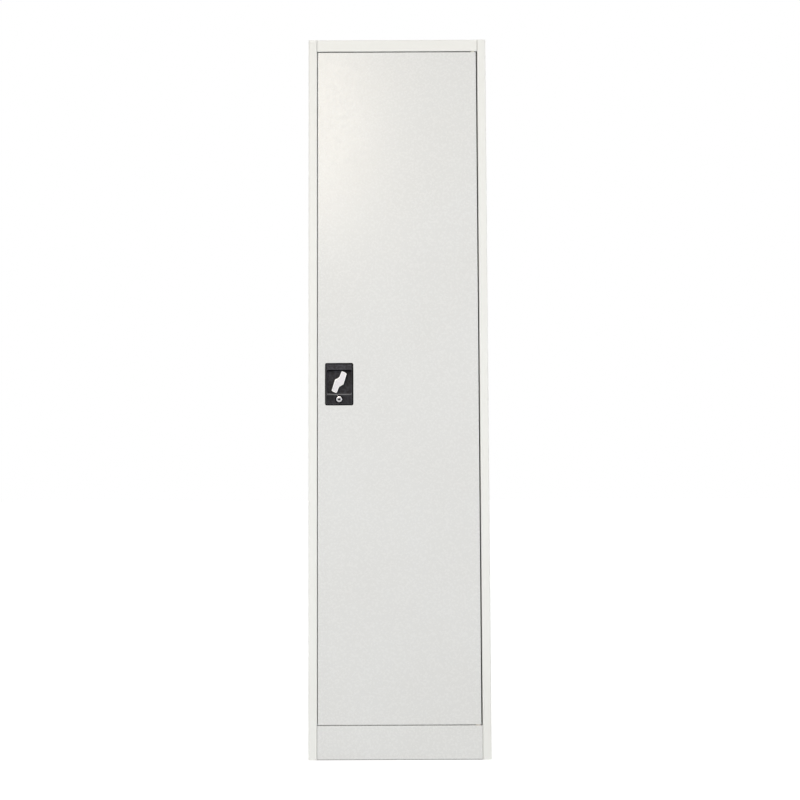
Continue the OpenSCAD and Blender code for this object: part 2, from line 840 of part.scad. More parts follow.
// Bracket that holds the handle plate against the door, above the cam disc
module handle_bracket() {
    leg = cup_x + bracket_t / 2 + fit_gap;
    m = bracket_t / 2;
    color(zinc) placed() difference() {
        along_z(bracket_z - bracket_h / 2, bracket_z + bracket_h / 2) translate([plate_x, 0])
            folded([
                [-leg - bracket_foot, sheet_t + m],
                [-leg, sheet_t + m],
                [-leg, cup_back + m],
                [leg, cup_back + m],
                [leg, sheet_t + m],
                [leg + bracket_foot, sheet_t + m]
            ], bracket_t, bracket_t);
        translate([plate_x, 0, bracket_z])
            rod_y(screw_r + fit_gap, cup_back - past, cup_back + bracket_t + past);
    }
}

module bracket_screw() {
    y = cup_back + bracket_t;
    half = screw_head_r * 0.6;
    color(zinc) placed() translate([plate_x, 0, bracket_z]) difference() {
        union() {
            rod_y(screw_r - run_gap, cup_back - screw_in, y);
            rod_y(screw_head_r, y, y + screw_head_h);
        }
        for (size = [[half, 0.4], [0.4, half]])
            span([-size[0], y + screw_head_h / 2, -size[1]], [size[0], y + screw_head_h + past, size[1]]);
    }
}

// Lock barrel, fixed in the handle plate
module lock_barrel() {
    color(zinc) placed() translate([plate_x, 0, key_z]) difference() {
        union() {
            rod_y(barrel_head_r, -plate_t - barrel_proud, -plate_t + seat_d);
            rod_y(barrel_r, -plate_t, disc_y - fit_gap);
        }
        rod_y(plug_r + run_gap, -plate_t - barrel_proud - past, disc_y + past);
    }
}

module barrel_nut() {
    color(zinc) placed() translate([plate_x, 0, key_z]) difference() {
        rod_y(barrel_r + boss_wall, cup_back, cup_back + boss_h, 6);
        rod_y(barrel_r + run_gap, cup_back - past, cup_back + boss_h + past);
    }
}

// Fills the corner p of a drawing with a radius, between edges that leave it along a and b
module fillet(p, a, b, r) {
    half = acos(a * b) / 2;
    c = p + towards([0, 0], a + b) * r / sin(half);
    run = r / tan(half);
    difference() {
        polygon(wound([p, p + a * run, c, p + b * run]));
        translate(c) circle(r);
    }
}

// Outline of the upright lever: two offset arms that overlap round the spindle
module lever_outline() {
    arm_in = arm_out - arm_w;
    step = arm_out + arm_in;
    end = lever_r + past;
    inner = [arm_in, elbow + step];
    tip = [arm_in + arm_taper, end];
    slope = [-1, -1] / sqrt(2);
    intersection() {
        circle(lever_r);
        union() {
            polygon([
                tip, inner, [-arm_out, elbow], [-arm_out, -end],
                -tip, -inner, [arm_out, -elbow], [arm_out, end]
            ]);
            fillet(inner, towards(inner, tip), slope, elbow_r);
            fillet(-inner, towards(-inner, -tip), -slope, elbow_r);
        }
    }
}

// Moves a child to the spindle, turned as the released lever is
module on_spindle() {
    placed() translate([plate_x, 0, spindle_z]) rotate([0, lever_tilt, 0]) children();
}

module turn_lever() {
    color(zinc) on_spindle() {
        along_y(lever_face, lever_back) lever_outline();
        rod_y(boss_r, lever_back, neck_y);
    }
}

// Spindle: journal in the cup, square for the cam disc and the pawl, threaded end
module lever_spindle() {
    half = square_w / 2;
    color(zinc) on_spindle() {
        rod_y(spindle_r, neck_y, cup_back + boss_h + fit_gap);
        span([-half, cup_back + boss_h, -half], [half, pawl_y + bar_t, half]);
        rod_y(thread_r, pawl_y + bar_t, spindle_end);
    }
}

// Square hole for the spindle
module square_hole(y0, y1) {
    half = square_w / 2 + run_gap;
    span([-half, y0 - past, -half], [half, y1 + past, half]);
}

// Moves a child to one of the two cam pins, at the released lever's angle
module at_crank(side) {
    placed() translate([plate_x + side * crank_in, 0, spindle_z + side * crank_rise]) children();
}

// Cam disc, with notches where the lock cam stands when the lever is released and latched
module cam_disc() {
    color(zinc) difference() {
        placed() translate([plate_x, 0, spindle_z]) difference() {
            rod_y(disc_r, disc_y, disc_y + bar_t);
            for (turn = [0, -lever_throw])
                rotate([0, turn, 0]) translate([0, 0, -key_down])
                    rod_y(cam_len + bar_gap, disc_y - past, disc_y + bar_t + past);
            rotate([0, lever_tilt, 0]) square_hole(disc_y, disc_y + bar_t);
        }
        for (side = [-1, 1])
            at_crank(side) rod_y(crank_pin_r + run_gap, disc_y - past, disc_y + bar_t + past);
    }
}

// How far a cam pin's heads stand out, and their height
head_lap = 1.3;
head_t = 1.2;

// Cam pins, riveted in the disc, with heads in front of the lock bars
module cam_pins() {
    color(zinc)
        for (side = [-1, 1]) at_crank(side) {
            rod_y(crank_pin_r, bar_y - fit_gap, disc_y + bar_t);
            rod_y(crank_pin_r + head_lap, bar_y - fit_gap - head_t, bar_y - fit_gap);
            rod_y(crank_pin_r + head_lap, disc_y + bar_t, disc_y + bar_t + head_t);
        }
}

module latch_spacer() {
    color(zinc) on_spindle() difference() {
        rod_y(collar_r, disc_y + bar_t, pawl_y);
        square_hole(disc_y + bar_t, pawl_y);
    }
}

// Latch pawl: it points at the lock side's stile once the lever is latched
module latch_pawl() {
    hub = collar_r + boss_wall;
    half = pawl_w / 2;
    lead = pawl_bevel;
    color(zinc) difference() {
        placed() translate([plate_x, 0, spindle_z]) {
            rod_y(hub, pawl_y, pawl_y + bar_t);
            along_y(pawl_y, pawl_y + bar_t) rotate(180 + lever_throw)
                polygon([
                    [0, -half], [pawl_len - lead, -half], [pawl_len, -half + lead],
                    [pawl_len, half - lead], [pawl_len - lead, half], [0, half]
                ]);
        }
        on_spindle() square_hole(pawl_y, pawl_y + bar_t);
    }
}

module spindle_washer() {
    color(zinc) on_spindle() difference() {
        rod_y(collar_r, nut_y - collar_t, nut_y);
        rod_y(thread_r + fit_gap, nut_y - collar_t - past, nut_y + past);
    }
}

module spindle_nut() {
    color(zinc) on_spindle() difference() {
        rod_y(nut_r, nut_y, nut_y + nut_h, 6);
        rod_y(thread_r + run_gap, nut_y - past, nut_y + nut_h + past);
    }
}

// Lock bar above the spindle, in the plane of (x, z) with the spindle at the origin
module bar_outline(reach) {
    slot_z = -crank_rise;
    slot_half = crank_pin_r + bar_gap;
    point = tip_bevel;
    difference() {
        union() {
            area([-bar_out, slot_z - slot_half - head_wall], [-head_in, slot_z + slot_half + head_wall]);
            polygon([
                [-bar_out, slot_z], [-bar_in, slot_z],
                [-bar_in, reach - 2 * point], [-bar_in - point, reach],
                [-bar_out + point, reach], [-bar_out, reach - 2 * point]
            ]);
        }
        area([-slot_out, slot_z - slot_half], [-slot_in, slot_z + slot_half]);
    }
}

module upper_lock_bar() {
    color(zinc) placed() translate([plate_x, 0, spindle_z])
        along_y(bar_y, bar_y + bar_t) bar_outline(door_z1 - tip_inset - spindle_z);
}

module lower_lock_bar() {
    color(zinc) placed() translate([plate_x, 0, spindle_z])
        along_y(bar_y, bar_y + bar_t) rotate(180) bar_outline(spindle_z - door_z0 - tip_inset);
}

// Key plug with a keyway in its face and a square for the lock cam
module key_plug() {
    half = stub_w / 2;
    color(zinc) placed() translate([plate_x, 0, key_z]) difference() {
        union() {
            rod_y(plug_r, plug_face, disc_y - fit_gap);
            span([-half, disc_y - fit_gap, -half], [half, cam_back, half]);
        }
        along_y(plug_face - past, plug_face + keyway_d) keyway();
        rod_y(cam_screw_r, cam_back - screw_in / 2, cam_back + past);
    }
}

// Keyway: a flat slot with a step on each side
module keyway() {
    area([-3, -1.1], [3, 1.1]);
    area([-1.9, -1.9], [0.7, 1.5]);
    area([1.1, -1.5], [2.3, 1.9]);
}

// Lock cam: it points right when open and turns up into the disc's notch
module lock_cam() {
    hole = stub_w / 2 + run_gap;
    color(zinc) placed() translate([plate_x, 0, key_z]) difference() {
        union() {
            rod_y(cam_w / 2 + 1.5, disc_y, cam_back);
            along_y(disc_y, cam_back) intersection() {
                area([0, -cam_w / 2], [cam_len, cam_w / 2]);
                circle(cam_len);
            }
        }
        span([-hole, disc_y - past, -hole], [hole, cam_back + past, hole]);
    }
}

module cam_screw() {
    half = cam_head_r * 0.7;
    color(zinc) placed() translate([plate_x, 0, key_z]) difference() {
        union() {
            rod_y(cam_screw_r - run_gap, cam_back - screw_in / 2, cam_back);
            rod_y(cam_head_r, cam_back, cam_back + cam_head_h);
        }
        span([-half, cam_back + cam_head_h / 2, -0.4], [half, cam_back + cam_head_h + past, 0.4]);
    }
}

side_panel();  // left_side_panel
mirror([1, 0, 0]) side_panel();  // right_side_panel
stile();  // left_stile
mirror([1, 0, 0]) stile();  // right_stile
back_panel();
top_panel();
floor_panel();
plinth();
upright(upright_front);  // front_left_upright
mirror([1, 0, 0]) upright(upright_front);  // front_right_upright
upright(upright_rear);  // rear_left_upright
mirror([1, 0, 0]) upright(upright_rear);  // rear_right_upright
shelf(0);  // shelf_1
shelf(1);  // shelf_2
shelf(2);  // shelf_3
shelf(3);  // shelf_4
shelf_clips();
pivot_plate(rail_z + sheet_t);  // top_pivot_plate
pivot_plate(plinth_h - sheet_t - pivot_t);  // bottom_pivot_plate
hinge_pin(rail_z + sheet_t + pivot_t, door_z1 - sheet_t - pivot_t - pin_lap, -1);  // top_hinge_pin
hinge_pin(plinth_h - sheet_t - pivot_t, door_z0 + sheet_t + pivot_t + pin_lap, 1);  // bottom_hinge_pin
hinge_washer(door_z1 + washer_play, rail_z - washer_play);  // top_hinge_washer
hinge_washer(plinth_h, door_z0);  // bottom_hinge_washer
door_buffers();
door_shell();
door_stiffener();
door_bearing(door_z1 - sheet_t - pivot_t);  // door_top_bearing
door_bearing(door_z0 + sheet_t);  // door_bottom_bearing
bar_guides();
handle_plate();
handle_bracket();
bracket_screw();
lock_barrel();
barrel_nut();
turn_lever();
lever_spindle();
cam_disc();
cam_pins();
latch_spacer();
latch_pawl();
spindle_washer();
spindle_nut();
upper_lock_bar();
lower_lock_bar();
key_plug();
lock_cam();
cam_screw();
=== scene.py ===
"""Looks of the metal storage cabinet, laid out as a Blender add-on and run as a script."""
import math

import bmesh
import bpy
from bpy.props import FloatProperty, FloatVectorProperty, IntProperty, PointerProperty
from mathutils import Matrix, Vector


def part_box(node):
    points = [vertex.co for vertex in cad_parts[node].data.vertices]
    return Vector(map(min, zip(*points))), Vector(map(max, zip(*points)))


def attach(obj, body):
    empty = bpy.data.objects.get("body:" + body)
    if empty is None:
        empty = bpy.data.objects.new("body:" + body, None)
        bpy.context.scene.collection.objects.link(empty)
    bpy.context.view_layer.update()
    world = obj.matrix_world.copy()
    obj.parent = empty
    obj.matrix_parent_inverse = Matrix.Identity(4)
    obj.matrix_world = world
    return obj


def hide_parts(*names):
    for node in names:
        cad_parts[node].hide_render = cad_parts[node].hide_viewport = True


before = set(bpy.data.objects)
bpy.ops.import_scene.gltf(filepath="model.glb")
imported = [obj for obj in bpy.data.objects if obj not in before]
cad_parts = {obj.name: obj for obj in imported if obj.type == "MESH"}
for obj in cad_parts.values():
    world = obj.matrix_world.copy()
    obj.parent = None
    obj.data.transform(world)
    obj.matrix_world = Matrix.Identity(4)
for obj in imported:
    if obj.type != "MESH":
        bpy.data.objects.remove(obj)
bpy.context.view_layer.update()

bl_info = {
    "name": "Metal Storage Cabinet",
    "version": (1, 0, 0),
    "blender": (4, 5, 0),
    "location": "View3D > Sidebar > Cabinet",
    "description": "Finishes and fittings of a tall steel cabinet with a three-point lock",
    "category": "Object",
}

MM = 0.001
# Depths in this file are millimetres behind the front face of the stiles
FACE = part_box("left_stile")[0].y
# Centres across and up, in millimetres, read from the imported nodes
PLATE_LOW, PLATE_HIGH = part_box("handle_plate")
PLATE_X = (PLATE_LOW.x + PLATE_HIGH.x) / 2 / MM
SPINDLE_Z = sum(corner.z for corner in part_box("spindle_washer")) / 2 / MM
KEY_Z = sum(corner.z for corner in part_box("lock_barrel")) / 2 / MM
BRACKET_Z = sum(corner.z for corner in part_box("bracket_screw")) / 2 / MM

FOLDED = (
    "left_side_panel", "right_side_panel", "left_stile", "right_stile", "back_panel", "top_panel",
    "floor_panel", "plinth", "shelf_1", "shelf_2", "shelf_3", "shelf_4", "door_shell", "door_stiffener",
)
SLOTTED = ("front_left_upright", "front_right_upright", "rear_left_upright", "rear_right_upright")


# Values and units

def linear(code):
    """An sRGB hex value such as "E4E2DC" as a linear colour with alpha 1."""
    channels = [int(code[i:i + 2], 16) / 255 for i in (0, 2, 4)]
    return [c / 12.92 if c <= 0.04045 else ((c + 0.055) / 1.055) ** 2.4 for c in channels] + [1.0]


def length(name, description, millimetres, least=0.0, most=1000.0):
    """A length that a user can change, given in millimetres and kept in metres."""
    return FloatProperty(
        name=name, description=description, default=millimetres * MM,
        min=least * MM, max=most * MM, unit="LENGTH", subtype="DISTANCE", precision=5,
    )


def colour(name, description, code):
    """A colour that a user can change, given as sRGB hex."""
    return FloatVectorProperty(
        name=name, description=description, default=linear(code),
        size=4, min=0, max=1, subtype="COLOR",
    )


def share(name, description, default, least=0.0, most=1.0):
    """A plain number that a user can change."""
    return FloatProperty(name=name, description=description, default=default, min=least, max=most)


def power(name, description, watts):
    """The power of a lamp, in watts."""
    return FloatProperty(name=name, description=description, default=watts, min=0, max=2000, unit="POWER")


class CabinetFinishes(bpy.types.PropertyGroup):
    """Colours and gloss of the cabinet's finishes"""
    # The frame coat and the door coat are one powder coat; the door's copy is painted a little darker as
    # painted shade on the door and the plinth
    frame_coat: colour("Frame coat", "Colour of the powder coat on the carcass and shelves", "ECEDEA")
    door_coat_shaded: colour("Door coat", "Colour of the powder coat on the door and the plinth", "E0E1E0")
    frame_gloss: share("Frame roughness", "How matt the powder coat on the carcass is", 0.45)
    door_gloss: share("Door roughness", "How matt the powder coat on the door is", 0.25)
    peel: length("Orange peel", "Width of the ripples in the powder coat", 5, 1, 20)
    zinc: colour("Zinc plate", "Colour of the clear-passivated zinc on the fittings", "C9CBCE")
    satin: colour("Satin nickel", "Colour of the turn lever's plated casting", "D8D6DB")
    bright: colour("Bright nickel", "Colour of the lock cylinder's plating", "DADADF")
    plastic: colour("Black nylon", "Colour of the moulded handle plate and guides", "4A4A4F")
    washer: colour("Natural nylon", "Colour of the hinge washers", "E6E2D4")
    rubber: colour("Black rubber", "Colour of the door buffers", "242424")


class CabinetHandle(bpy.types.PropertyGroup):
    """Sizes of the handle plate, the turn lever and the lock cylinder"""
    bevel: length("Plate bevel", "Width of the sloped border of the handle plate", 4, 2, 4.2)
    corner: length("Recess corners", "Radius of the recess's corners", 3, 1, 6)
    lip: length("Recess lip", "Rounding of the recess's edge", 0.7, 0.2, 1)
    low_lip: length("Lower lip", "Rounding of the recess's lower edge", 1.2, 0.3, 1.3)
    lever_edge: length("Lever edge", "Rounding of the turn lever's edges", 0.8, 0.3, 1.5)
    lever_rim: length("Lever rim", "Width of the raised rim round the lever's face", 0.9, 0.1, 2)
    lever_sink: length("Lever face depth", "How far the lever's face lies under its rim", 0.3, 0.05, 1)
    tilt: FloatProperty(
        name="Lever tilt", description="Angle of the released lever from upright",
        default=math.radians(17), min=0, max=math.radians(30), subtype="ANGLE",
    )


class CabinetFittings(bpy.types.PropertyGroup):
    """Sizes and counts of the shelf clips, weld spots, buffers and bar guides"""
    bend: length("Sheet bend", "Outer radius of the folded sheets' bends", 1.2, 0.3, 1.6)
    weld_width: length("Weld spot", "Width of a spot-weld mark", 5.5, 3, 8)
    weld_pitch: length("Weld pitch", "Distance from one weld spot to the next", 106, 40, 300)
    welds: IntProperty(
        name="Weld spots", default=16, min=2, max=40,
        description="Number of weld spots up each foot of an upright and each edge of the back",
    )
    clip_bend: length("Clip bend", "Inner radius of the shelf clips' bend", 0.6, 0.2, 2)
    guide_edge: length("Guide edge", "Rounding of the bar guides' edges", 0.8, 0.2, 1.5)
    buffer_dome: length("Buffer dome", "Rounding of the rubber buffers' rim", 1.4, 0.3, 2)


class CabinetStage(bpy.types.PropertyGroup):
    """Floor, background, lamps and camera"""
    floor: colour("Floor", "Colour of the floor", "DADAD8")
    surroundings: share("Surroundings", "Soft light from all round", 0.475, 0, 2)
    key: power("Key lamp", "Power of the large lamp, upper left", 128)
    low: power("Low lamp", "Power of the small lamp, low on the left", 23)
    fill: power("Fill lamp", "Power of the lamp on the right", 64)
    lens: share("Lens", "Focal length in millimetres, on a 36 mm sensor", 39.06, 10, 200)


# Outlines, in millimetres

def circle(x, z, radius, points=48):
    """Points round a circle."""
    turns = [math.tau * i / points for i in range(points)]
    return [(x + radius * math.cos(a), z + radius * math.sin(a)) for a in turns]


def rounded(corners, steps=6):
    """Points of a closed outline whose corners (x, z, radius) are rounded."""
    points = []
    count = len(corners)
    for i, (x, z, radius) in enumerate(corners):
        here = Vector((x, z))
        back = (Vector(corners[i - 1][:2]) - here).normalized()
        on = (Vector(corners[(i + 1) % count][:2]) - here).normalized()
        half = math.acos(max(-1.0, min(1.0, back.dot(on)))) / 2
        if radius <= 0 or math.cos(half) < 0.01:
            points.append((x, z))
            continue
        centre = here + (back + on).normalized() * radius / math.sin(half)
        first = here + back * radius / math.tan(half) - centre
        last = here + on * radius / math.tan(half) - centre
        turn = first.angle_signed(last)
        for k in range(steps + 1):
            spoke = Matrix.Rotation(-turn * k / steps, 2) @ first
            points.append(tuple(centre + spoke))
    return points


def box_outline(x0, z0, x1, z1, radius, steps=6):
    """Points of a rectangle with rounded corners."""
    return rounded([(x0, z0, radius), (x1, z0, radius), (x1, z1, radius), (x0, z1, radius)], steps)


def inset(points, distance):
    """The closed anticlockwise outline, moved inwards by a distance at each point."""
    if not distance:
        return points
    moved = []
    for i, here in enumerate(points):
        here = Vector(here)
        into = (here - Vector(points[i - 1])).normalized()
        out = (Vector(points[(i + 1) % len(points)]) - here).normalized()
        side_in, side_out = Vector((-into.y, into.x)), Vector((-out.y, out.x))
        moved.append(tuple(here + (side_in + side_out) * distance / (1 + side_in.dot(side_out))))
    return moved


def quarter(radius, steps=4):
    """Steps of a quarter round, as (across, along), from (0, 0) to (radius, radius)."""
    angles = [math.pi / 2 * k / steps for k in range(steps + 1)]
    return [(radius * (1 - math.cos(a)), radius * math.sin(a)) for a in angles]


# Shells in mesh code

def new_shell(*marks):
    """An empty mesh whose vertices can carry the named marks, from 0 to 1, for a material to read."""
    shell = bmesh.new()
    for name in marks:
        shell.verts.layers.float.new(name)
    return shell


def mark(loop, layer, value):
    """Sets a mark on every vertex of a loop."""
    for vertex in loop:
        vertex[layer] = value


def ring(shell, points, depth, lay, **marks):
    """A closed loop of vertices; lay turns (across, up, depth) into a place in metres."""
    loop = [shell.verts.new(lay(u, v, depth)) for u, v in points]
    for name, value in marks.items():
        mark(loop, shell.verts.layers.float[name], value)
    return loop


def wall(shell, first, second):
    """Faces between two loops of the same length."""
    for i in range(len(first)):
        j = (i + 1) % len(first)
        shell.faces.new((first[i], first[j], second[j], second[i]))


def walls(shell, loops):
    """Faces between each loop and the next."""
    for first, second in zip(loops, loops[1:]):
        wall(shell, first, second)


def flat(shell, *loops):
    """A flat face inside the first loop, with the other loops as holes in it."""
    edges = []
    for loop in loops:
        for i in range(len(loop)):
            pair = (loop[i - 1], loop[i])
            edges.append(shell.edges.get(pair) or shell.edges.new(pair))
    bmesh.ops.triangle_fill(shell, edges=edges, use_beauty=True)


def in_front(u, v, depth):
    """Across, up and depth behind the stiles' front face, in millimetres, as a place in metres."""
    return Vector((u * MM, FACE + depth * MM, v * MM))


def from_origin(u, v, depth):
    """Across, up and depth from the origin, in millimetres, as a place in metres."""
    return Vector((u * MM, depth * MM, v * MM))


def capped(shell, loops):
    """Walls between the loops, closed by a flat face at each end."""
    walls(shell, loops)
    flat(shell, loops[0])
    flat(shell, loops[-1])


def turned(shell, centre, profile, lay=in_front, points=48, build=walls):
    """Round walls about a centre; the profile gives each loop's radius and depth."""
    loops = [ring(shell, circle(*centre, radius, points), depth, lay) for radius, depth in profile]
    build(shell, loops)
    return loops


def straight(shell, points, depths, lay=in_front, **marks):
    """Walls along one outline, from each depth to the next."""
    loops = [ring(shell, points, depth, lay, **marks) for depth in depths]
    walls(shell, loops)
    return loops


def eased(shell, outline, width, edge, lay, side=1):
    """Loops along a bar whose ends have a small bevel; side -1 widens a hole there instead."""
    stops = ((edge, -width / 2), (0, edge - width / 2), (0, width / 2 - edge), (edge, width / 2))
    return [ring(shell, inset(outline, side * step), along, lay) for step, along in stops]


def piece(name, shell, sharp=35):
    """Turns the shell into a mesh object at the origin, closed, with its faces outwards."""
    bmesh.ops.remove_doubles(shell, verts=shell.verts, dist=1e-7)
    bmesh.ops.recalc_face_normals(shell, faces=shell.faces)
    open_edges = [edge for edge in shell.edges if not edge.is_manifold]
    if open_edges:
        raise RuntimeError(f"{name} has {len(open_edges)} open or crossing edges")
    mesh = bpy.data.meshes.new(name)
    shell.to_mesh(mesh)
    shell.free()
    made = bpy.data.objects.new(name, mesh)
    bpy.context.scene.collection.objects.link(made)
    mesh.shade_smooth()
    mesh.set_sharp_from_angle(angle=math.radians(sharp))
    return made


def settled(made):
    """Bakes what the object's modifiers make into a plain mesh, and removes them."""
    graph = bpy.context.evaluated_depsgraph_get()
    mesh = bpy.data.meshes.new_from_object(made.evaluated_get(graph), depsgraph=graph)
    made.modifiers.clear()
    made.data = mesh
    mesh.name = made.name
    return made


def even_shading(made):
    """Shades flat faces flat up to their rounded edges."""
    modifier = made.modifiers.new("even shading", "WEIGHTED_NORMAL")
    modifier.mode = "FACE_AREA"
    modifier.weight = 100
    modifier.keep_sharp = True
    return settled(made)


def fitted(made, coat, body, slot, *nodes):
    """Gives a finished piece its material and its body, and hides the nodes it stands for; slot is not used.
    """
    made.data.materials.clear()
    made.data.materials.append(coat)
    made.data.polygons.foreach_set("material_index", [0] * len(made.data.polygons))
    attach(made, body)
    if nodes:
        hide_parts(*nodes)
    return made


# Node trees and materials

def add(tree, kind, inputs=None, **settings):
    """A node with its settings; an input is linked if it is given a socket, and set otherwise."""
    node = tree.nodes.new(kind)
    for name, value in settings.items():
        setattr(node, name, value)
    for key, value in (inputs or {}).items():
        if isinstance(value, bpy.types.NodeSocket):
            tree.links.new(value, node.inputs[key])
        else:
            node.inputs[key].default_value = value
    return node


def material(name, build, values=None):
    """The named material; a new one's shader has the values, and build(tree, surface) ends it."""
    found = bpy.data.materials.get(name)
    if found:
        return found
    made = bpy.data.materials.new(name)
    made.use_nodes = True
    tree = made.node_tree
    tree.nodes.clear()
    surface = add(tree, "ShaderNodeBsdfPrincipled", values)
    add(tree, "ShaderNodeOutputMaterial", {"Surface": surface.outputs["BSDF"]})
    build(tree, surface)
    return made


def mottled(tree, surface, first, second, size, detail=3.0, low=0.35, high=0.65):
    """Blends the base colour between two near ones, in soft patches of a given size; gives the
    object's coordinates and the pattern of the patches."""
    place = add(tree, "ShaderNodeTexCoord").outputs["Object"]
    noise = add(tree, "ShaderNodeTexNoise", {"Vector": place, "Scale": 1 / size, "Detail": detail})
    spread = add(tree, "ShaderNodeMapRange", {
        "Value": noise.outputs["Fac"], "From Min": low, "From Max": high}).outputs["Result"]
    mix = add(tree, "ShaderNodeMix", {0: spread, 6: first, 7: second}, data_type="RGBA")
    tree.links.new(mix.outputs[2], surface.inputs["Base Color"])
    return place, spread


def laid_over(tree, surface, amount, shade):
    """Lays another colour over the base colour, by a share from 0 to 1."""
    below = surface.inputs["Base Color"].links[0].from_socket
    mix = add(tree, "ShaderNodeMix", {0: amount, 6: below, 7: shade}, data_type="RGBA")
    tree.links.new(mix.outputs[2], surface.inputs["Base Color"])


def marked(tree, surface, name, shade):
    """Lays a colour over the vertices that carry a mark, and gives the mark."""
    found = add(tree, "ShaderNodeAttribute", attribute_name=name).outputs["Fac"]
    laid_over(tree, surface, found, shade)
    return found


def raised(tree, surface, height, strength, depth):
    """Raises a pattern by a depth, on top of any relief that the surface has."""
    bump = add(tree, "ShaderNodeBump", {"Height": height, "Strength": strength, "Distance": depth})
    relief = surface.inputs["Normal"]
    if relief.is_linked:
        tree.links.new(relief.links[0].from_socket, bump.inputs["Normal"])
    tree.links.new(bump.outputs["Normal"], relief)


def grained(tree, surface, place, width, strength, depth, detail=2.0, roughness=0.5):
    """Raises a grain of a given width, and gives its pattern."""
    grain = add(tree, "ShaderNodeTexNoise", {
        "Vector": place, "Scale": 1 / width, "Detail": detail, "Roughness": roughness}).outputs["Fac"]
    raised(tree, surface, grain, strength, depth)
    return grain


def roughened(tree, surface, pattern, least, most, low=0.0, high=1.0):
    """Lets the roughness follow a pattern, whose values from low to high give least to most."""
    rough = add(tree, "ShaderNodeMapRange", {
        "Value": pattern, "From Min": low, "From Max": high, "To Min": least, "To Max": most})
    tree.links.new(rough.outputs["Result"], surface.inputs["Roughness"])


def tinted(shade, factor, warmth=0.0):
    """A colour made lighter or darker, and warmer or cooler."""
    return [min(1.0, shade[0] * factor * (1 + warmth)), min(1.0, shade[1] * factor),
            min(1.0, shade[2] * factor * (1 - warmth)), 1.0]


def powder_coat(name="frame"):
    """Light grey polyester powder coat on sheet steel, baked: low gloss, a fine orange peel that sparkles
    under the lamp, and the slight waves of thin sheet under a soft sheen. Near black is laid over it as
    painted shade deep in the rebate round the door, and as a painted contact shadow along the plinth's foot."""
    finish = bpy.context.scene.cabinet_finishes
    on_door = name == "door"

    def build(tree, surface):
        # The door's darker copy of the coat is painted shade
        base = list(finish.door_coat_shaded if on_door else finish.frame_coat)
        gloss = finish.door_gloss if on_door else finish.frame_gloss
        place, _ = mottled(tree, surface, base, tinted(base, 0.985, 0.004), 0.22)
        # Painted shade: near black laid over the coat deep in the rebate's gaps on the frame, and on the door
        # coat as a painted contact shadow along the plinth's foot
        grey = painted_foot_shadow(tree, place) if on_door else painted_rebate_shade(tree, place)
        laid_over(tree, surface, grey, tinted(base, 0.12))
        # Sheet 0.8 mm thick waves by some tenths of a millimetre over a quarter of a metre
        grained(tree, surface, place, 0.26, 1.0, 0.0012, detail=1.0)
        # Orange peel is 2 to 3 mm wide; drawn 5 mm wide, so that it shows at two steps' distance
        peel = grained(tree, surface, place, finish.peel, 1.0, 0.0001, roughness=0.6)
        roughened(tree, surface, peel, gloss - 0.06, gloss + 0.08, 0.3, 0.7)

    return material(f"powder coated steel, {name}", build, {"IOR": 1.5, "Specular IOR Level": 0.5})


def product(tree, *shares):
    """Several shares from 0 to 1, multiplied."""
    result = shares[0]
    for factor in shares[1:]:
        result = add(tree, "ShaderNodeMath", {0: result, 1: factor}, operation="MULTIPLY").outputs["Value"]
    return result


def between(tree, value, low, high):
    """1 where the value lies between two limits, and 0 elsewhere."""
    over = add(tree, "ShaderNodeMath", {0: value, 1: low}, operation="GREATER_THAN")
    under = add(tree, "ShaderNodeMath", {0: value, 1: high}, operation="LESS_THAN")
    return product(tree, over.outputs["Value"], under.outputs["Value"])


def painted_foot_shadow(tree, place):
    """Painted contact shadow along the plinth's foot, darkest in its lowest two millimetres."""
    axes = add(tree, "ShaderNodeSeparateXYZ", {"Vector": place})
    return add(tree, "ShaderNodeMapRange", {
        "Value": axes.outputs["Z"], "From Min": 1.6 * MM, "From Max": 2.3 * MM,
        "To Min": 0.9, "To Max": 0.0}).outputs["Result"]


def painted_rebate_shade(tree, place):
    """Painted shade in the rebate round the door: 0 on the outside, up to 1 deep in the rebate on the hinge
    side and above the door, where the narrow gaps lie in shade."""
    door_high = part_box("door_shell")[1]
    inner_low, inner_high = [corner.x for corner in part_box("plinth")]
    # The painted shade deepens from the edge of the rebate to 5 mm inside it
    skin, head_gap, rebate, edge_in, deep_in = [n * MM for n in (0.5, 6, 22.2, 1, 5)]
    axes = add(tree, "ShaderNodeSeparateXYZ", {"Vector": place})
    across, back, up = [axes.outputs[axis] for axis in "XYZ"]
    hinged = between(tree, across, door_high.x, inner_high + skin)
    above = product(tree, between(tree, up, door_high.z, door_high.z + head_gap),
                    between(tree, across, inner_low - skin, inner_high + skin))
    edge = add(tree, "ShaderNodeMath", {0: hinged, 1: above}, operation="MAXIMUM").outputs["Value"]
    into = add(tree, "ShaderNodeMapRange", {
        "Value": back, "From Min": FACE + edge_in, "From Max": FACE + deep_in}).outputs["Result"]
    return product(tree, edge, into, between(tree, back, FACE, FACE + rebate))


def zinc_plate():
    """Electroplated zinc with a clear passivate on stamped and turned steel: a cool grey shine
    with faint cloudy patches and the fine scuffs of parts plated in a barrel."""
    finish = bpy.context.scene.cabinet_finishes

    def build(tree, surface):
        base = list(finish.zinc)
        place, cloud = mottled(tree, surface, base, tinted(base, 0.86, -0.015), 0.012, 4.0)
        # Barrel scuffs are under 0.5 mm; drawn 1.2 mm wide so that they show
        grained(tree, surface, place, 0.0012, 0.5, 0.00004, detail=3.0, roughness=0.7)
        roughened(tree, surface, cloud, 0.26, 0.42)

    return material("clear zinc plated steel", build, {"Metallic": 1.0})


